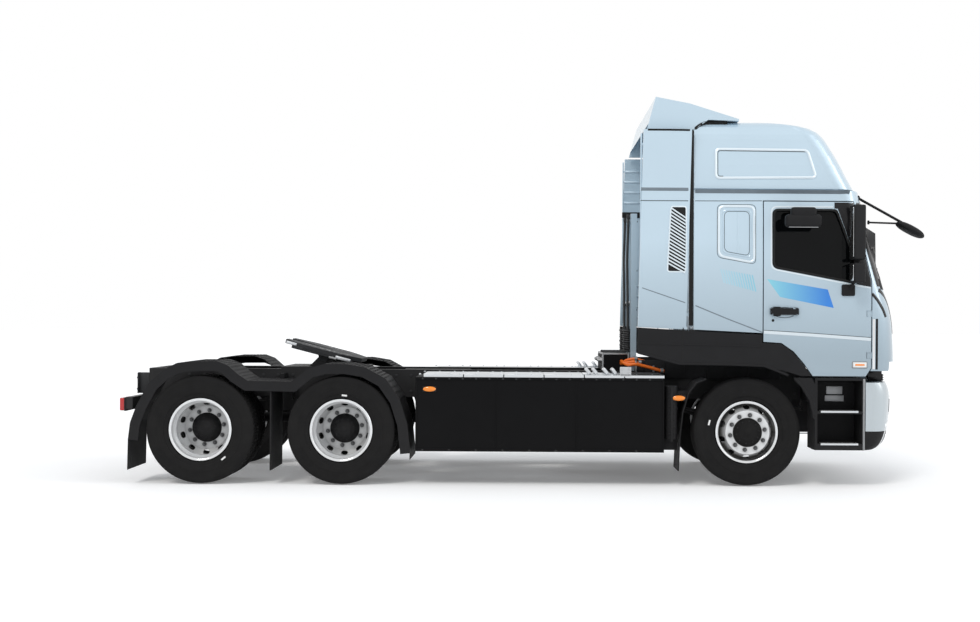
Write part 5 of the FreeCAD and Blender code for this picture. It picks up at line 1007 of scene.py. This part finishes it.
# Strips on each side of the front: finish, width, height, path, corner radius, closed, crown, step
FRONT_STRIPS = (
    ("lamp_frame", GLOSS, 18, 6, [(644, 704), (1076, 704), (1076, 866), (644, 866)], 34, True, 0.8, 40),
    ("fog_frame", CHROME, 18, 8, [(880, 424), (1040, 424), (1040, 506), (880, 506)], 28, True, 0.8, 40),
    ("corner_bright", CHROME, 14, 6, [(1096, 640), (1150, 600), (1160, 440), (1120, 372)], 60, False, 0.8,
     30),
    ("tow_cover", RUBBER, 6, 1.2, [(360, 430), (480, 430), (480, 520), (360, 520)], 16, True, 0.2, 30),
)
bumper = skin_of("bumper", "bumper_valance", "headlamps")
for side, sign in SIDES:
    ahead = front_place(bumper, sign, 3.5)
    for name, material, *rest in FRONT_STRIPS:
        strip(f"{name}_{side}", "chassis", material, ahead, *rest)
    middles = [ahead(y, 785, -0.060) for y in (720, 850, 975)]
    fitted(f"lamp_bowls_{side}", "chassis", CHROME, *[(lamp_bowl, at) for at in middles])
    near, far = Vector((0.02, 0, 0)), Vector((0.012, 0, 0))
    bulbs = [(rod, at - near, at + far, 0.017, 20, 0.010) for at in middles]
    fitted(f"lamp_bulbs_{side}", "chassis", LENS, *bulbs)
    fog = [(888, 432), (1032, 432), (1032, 498), (888, 498)]
    patches(f"fog_lens_{side}", "chassis", LENS, ahead, 3, [fog], 8, 4)
ahead = front_place(bumper, 1, 3.5)
for k, level in enumerate((790, 840, 890, 940)):
    ends = [(-560, level), (560, level)]
    strip(f"bumper_slot_{k}", "chassis", GLOSS, ahead, 26, 4, ends, crown=0.3, step=40)
grille = both((bar, (1240, 846, 1008), (1376, 854, 1122), 2))
for low, high in ((-850, -640), (-500, 500), (640, 850)):
    grille.append((bar, (1372, low, 1012), (1378, high, 1084), 2))
    grille += [(bar, (1374, low, level), (1396, high, level + 9)) for level in (1018, 1041, 1064)]
    grille += [(bar, (1376, y, 1014), (1388, y + 8, 1080), 2) for y in range(low, high + 1, 100)]
fitted("grille_bars", "chassis", GLOSS, *grille)
blank = [(-265, 596), (265, 596), (265, 706), (-265, 706)]
patches("front_plate", "chassis", PLATE, ahead, 8, [blank], 12, 3)
rim = [(-268, 593), (268, 593), (268, 709), (-268, 709)]
strip("front_plate_frame", "chassis", BLACK, ahead, 16, 11, rim, 14, True, 0.9, 40)
fitted("rear_plate", "chassis", PLATE, (bar, (-5972, 250, 700), (-5962, 770, 820), 4, 3))
fitted("rear_plate_holder", "chassis", BLACK, (bar, (-5966, 236, 688), (-5948, 784, 834), 8, 3),
       (bar, (-5962, 300, 826), (-5930, 330, 900), 5), (bar, (-5962, 690, 826), (-5930, 720, 900), 5))


# Coupling plate: ribs, marks, wear and release handle, in millimetres forward, left and above its pivot

tilt = Matrix.Translation(spot(-4200, 0, 1190)) @ Matrix.Rotation(math.radians(14.4), 4, "Y")
ribs = both((block, (-330, 466, 22), (300, 448, 54), 6),
            *[(block, (x, 455, 26), (x + 14, 380, 52), 4) for x in (-300, -200, 160, 250)])
ends = both((block, (-392, 474, 54), (-284, 462, 82), 4), (block, (128, 474, 30), (284, 462, 62), 4))
wear = both(*[(rod, (x, y, 0.082), (x, y, 0.0895), 0.013, 20, 0.010)
              for x in (-0.036, 0.036) for y in (0.296, 0.364)])
for sign in (-1, 1):
    for k in range(9):
        angle = math.radians(20 + k * 17)
        x, y = 240 * math.cos(angle), sign * (120 + 190 * math.sin(angle))
        turn = Matrix.Rotation(-sign * angle, 4, "Z")
        wear.append((block, (x - 30, y - 6, 86.5), (x + 30, y + 6, 88.9), 1, 1, turn))
points = [(0.10, -0.44, 0.038), (0.10, -0.50, 0.038), (0.102, -0.56, 0.036), (0.104, -0.60, 0.036)]
handle = [(rod, a, b, 0.009, 14) for a, b in zip(points, points[1:])]
handle.append((rod, (0.082, -0.603, 0.036), (0.158, -0.603, 0.036), 0.012, 16))
for name, material, parts in (("plate_ribs", IRON, ribs), ("plate_marks", ALU, ends),
                              ("plate_wear", STEEL, wear), ("release_handle", STEEL, handle)):
    fitted(name, "fifth_wheel", material, *parts, moved=tilt)


# Frame bolts, fender tread plate and tail brackets

places = [(x, 430, z) for x in range(-5850, 1051, 150) for z in (860, 1020)]
fitted("rail_bolts", "chassis", IRON, *both((bolts, places, (0, 1, 0), 10, 11)))
top = skin_of("rear_fenders")


def tread_plate(work, sign):
    """Adds raised grains, turned in alternate ways, where the fender's top is met from above."""
    for row in range(74):
        for column in range(13):
            start = spot(-5900 + row * 36, sign * (652 + column * 46), 1600)
            at, normal = top.ray_cast(start, Vector((0, 0, -1)), 1.2)[:2]
            if at is None or normal.z < 0.3 or at.z < 0.75:
                continue
            spin = Matrix.Rotation(math.radians(45 if (row + column) % 2 else -45), 4, "Z")
            lay = normal.to_track_quat("Z", "Y").to_matrix().to_4x4()
            made = lump(work, (-0.012, -0.0035, -0.001), (0.012, 0.0035, 0.002))
            bmesh.ops.transform(work, matrix=Matrix.Translation(at) @ lay @ spin, verts=made)


for side, sign in SIDES:
    fitted(f"fender_tread_{side}", "chassis", BLACK, (tread_plate, sign))
fitted("tail_brackets", "chassis", IRON, *both(
    (bar, (-5894, 1040, 858), (-5790, 1050, 1060), 4), (bar, (-5894, 1010, 858), (-5884, 1090, 1060), 4),
    (bolts, [(-5894, y, z) for y in (1030, 1070) for z in (900, 1010)], (-1, 0, 0), 8, 9)))


# Splash panels between the frame and the cab, the deflectors' ribs and the cab's rear wall

pair("splash_panel", "chassis", BLACK, (bar, (-1040, 590, 1004), (420, 578, 1196), 5),
     (bar, (-1040, 590, 1004), (420, 432, 1016), 4),
     *[(bar, (x, 596, 1020), (x + 20, 586, 1180)) for x in range(-960, 301, 210)])
levels = [z for z in range(1620, 3273, 118) if not 2030 < z < 2700]
pair("deflector_ribs", "cab", PAINT, (bar, (-1046, 1212, 1570), (-1030, 1198, 3390), 5),
     *[(bar, (-1030, 1212, z), (-640, 1200, z + 22), 5) for z in levels])
pair("deflector_bar", "cab", BLACK, (bar, (-1048, 1206, 2758), (-640, 1194, 2822), 6))
foot = ((-1061, 1537), (-592, 1537), (-588, 1508), (-1061, 1529))
outer, inner = [[(x, y, z) for x, z in foot] for y in (1243, 1216)]
pair("deflector_foot", "cab", PAINT, (prism, outer, inner, 3, 2, 0.5))
fitted("rear_wall_ribs", "cab", PAINT,
       *[(bar, (-537, y - 20, 1320), (-528, y + 20, 2690), 4, 3) for y in range(-880, 881, 220)],
       *[(bar, (-536, -1000, z), (-528, 1000, z + 26), 4, 3) for z in (1270, 2716)])


# Inside: padded seats and bunk, steering wheel and dash

def cushion(work, low, high, crown, channels, along="x"):
    """Fills a mesh with a crowned closed cushion whose sides pull in, with sewn channels across its top."""
    low, high = Vector(low), Vector(high)
    middle, half = (low + high) / 2, (high - low) / 2
    bmesh.ops.create_cube(work, size=2.0)
    bmesh.ops.subdivide_edges(work, edges=work.edges[:], cuts=22, use_grid_fill=True)
    for v in work.verts:
        x, y, z = v.co
        soft = (1 - x ** 6) * (1 - y ** 6)
        sides = 1 - 0.035 * (1 - (x * y) ** 2) * (1 - abs(z) ** 3)
        near = 1 - 0.20 * (1 - max(abs(x), abs(y), abs(z)) / v.co.length)
        lift = 0.0
        if z > 0.98:
            u = x if along == "x" else y
            seam = math.exp(-((math.sin(math.pi * (u + 1) / 2 * channels)) / 0.16) ** 2)
            lift = (crown - 0.010 * seam) * soft
        x, y, z = half.x * x * near * sides, half.y * y * near * sides, half.z * z * near + lift
        v.co = middle + Vector((x, y, z))


for side, sign in SIDES:
    y = sign * 560
    seat = (cushion, spot(150, y - 255, 1725), spot(665, y + 255, 1838), 0.022, 3)
    fitted(f"seat_cushion_{side}", "cab", CLOTH, seat)
    upright = Matrix.Translation(spot(140, y, 2130)) @ Matrix.Rotation(math.radians(-82), 4, "Y")
    back = (cushion, (-0.40, -0.25, -0.06), (0.40, 0.25, 0.06), 0.020, 4)
    fitted(f"seat_back_{side}", "cab", CLOTH, back, moved=upright)
bed = (cushion, spot(-478, -1045, 1645), spot(38, 1045, 1772), 0.016, 9, "y")
fitted("bunk_mattress", "cab", CLOTH, bed)
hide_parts("seats")
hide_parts("bunk")
bellows = [(bar, (215 + k * 3, 395 + k * 3, 1298 + k * 80), (600 - k * 3, 725 - k * 3, 1372 + k * 80), 18, 3)
           for k in range(5)]
fitted("seat_frames", "cab", TRIM, *both(
    (bar, (170, 370, 1252), (650, 750, 1300), 14, 3), (bar, (150, 335, 1690), (660, 785, 1730), 12, 3),
    (pin, (360, 310, 1700), (420, 298, 1820), 12), *bellows))
fitted("bunk_base", "cab", TRIM, (bar, (-478, -1045, 1254), (-10, 1045, 1640), 14, 3),
       *[(bar, (-14, y - 300, 1300), (-4, y + 300, 1600), 8, 3) for y in (-690, 0, 690)])

ring = [(0.222 * math.cos(k * math.pi / 12), 0.222 * math.sin(k * math.pi / 12), 0) for k in range(24)]
spokes = [(math.cos(a), math.sin(a)) for a in map(math.radians, (90, 210, 330))]
fitted("wheel_body", "cab", TRIM, (tube, ring, 0.0165, 16, True),
       *[(rod, (0.05 * x, 0.05 * y, -0.012), (0.218 * x, 0.218 * y, -0.002), 0.017, 12, 0.011)
         for x, y in spokes],
       (lump, (-0.075, -0.085, -0.035), (0.075, 0.085, 0.010), 0.022, 4),
       (rod, (0, 0, -0.03), (0, 0, -0.165), 0.034, 20),
       moved=Matrix.Translation(spot(700, 560, 2060)) @ Matrix.Rotation(math.radians(-30), 4, "Y"),
       stands_for=("steering_wheel",))

details = [(bar, (800, 290, 2004), (1130, 830, 2060), 24, 4),
           (bar, (786, -160, 1800), (800, 170, 1985), 8, 3), (bar, (784, -1040, 1712), (796, -300, 1720))]
for y in (-820, -560, 900):
    details += [(bar, (782, y - 90, z), (794, y + 90, z + 6), 2) for z in range(1900, 1955, 18)]
    details.append((bar, (785, y - 100, 1888), (791, y - 92, 1980), 2))
fitted("dash_details", "cab", TRIM, *details)
fitted("dash_screens", "cab", GLOSS, (bar, (781, -140, 1815), (787, 150, 1970), 5, 3),
       (bar, (795, 380, 2014), (803, 740, 2046), 5, 3))
pair("door_trim", "door_{}", TRIM, (bar, (290, 1204, 1500), (820, 1140, 1556), 20, 4),
     (bar, (250, 1204, 1300), (760, 1176, 1440), 12, 3),
     (pin, (860, 1204, 1620), (860, 1170, 1620), 20, 16, 16),
     (pin, (860, 1172, 1620), (780, 1172, 1620), 9, 12, 7))
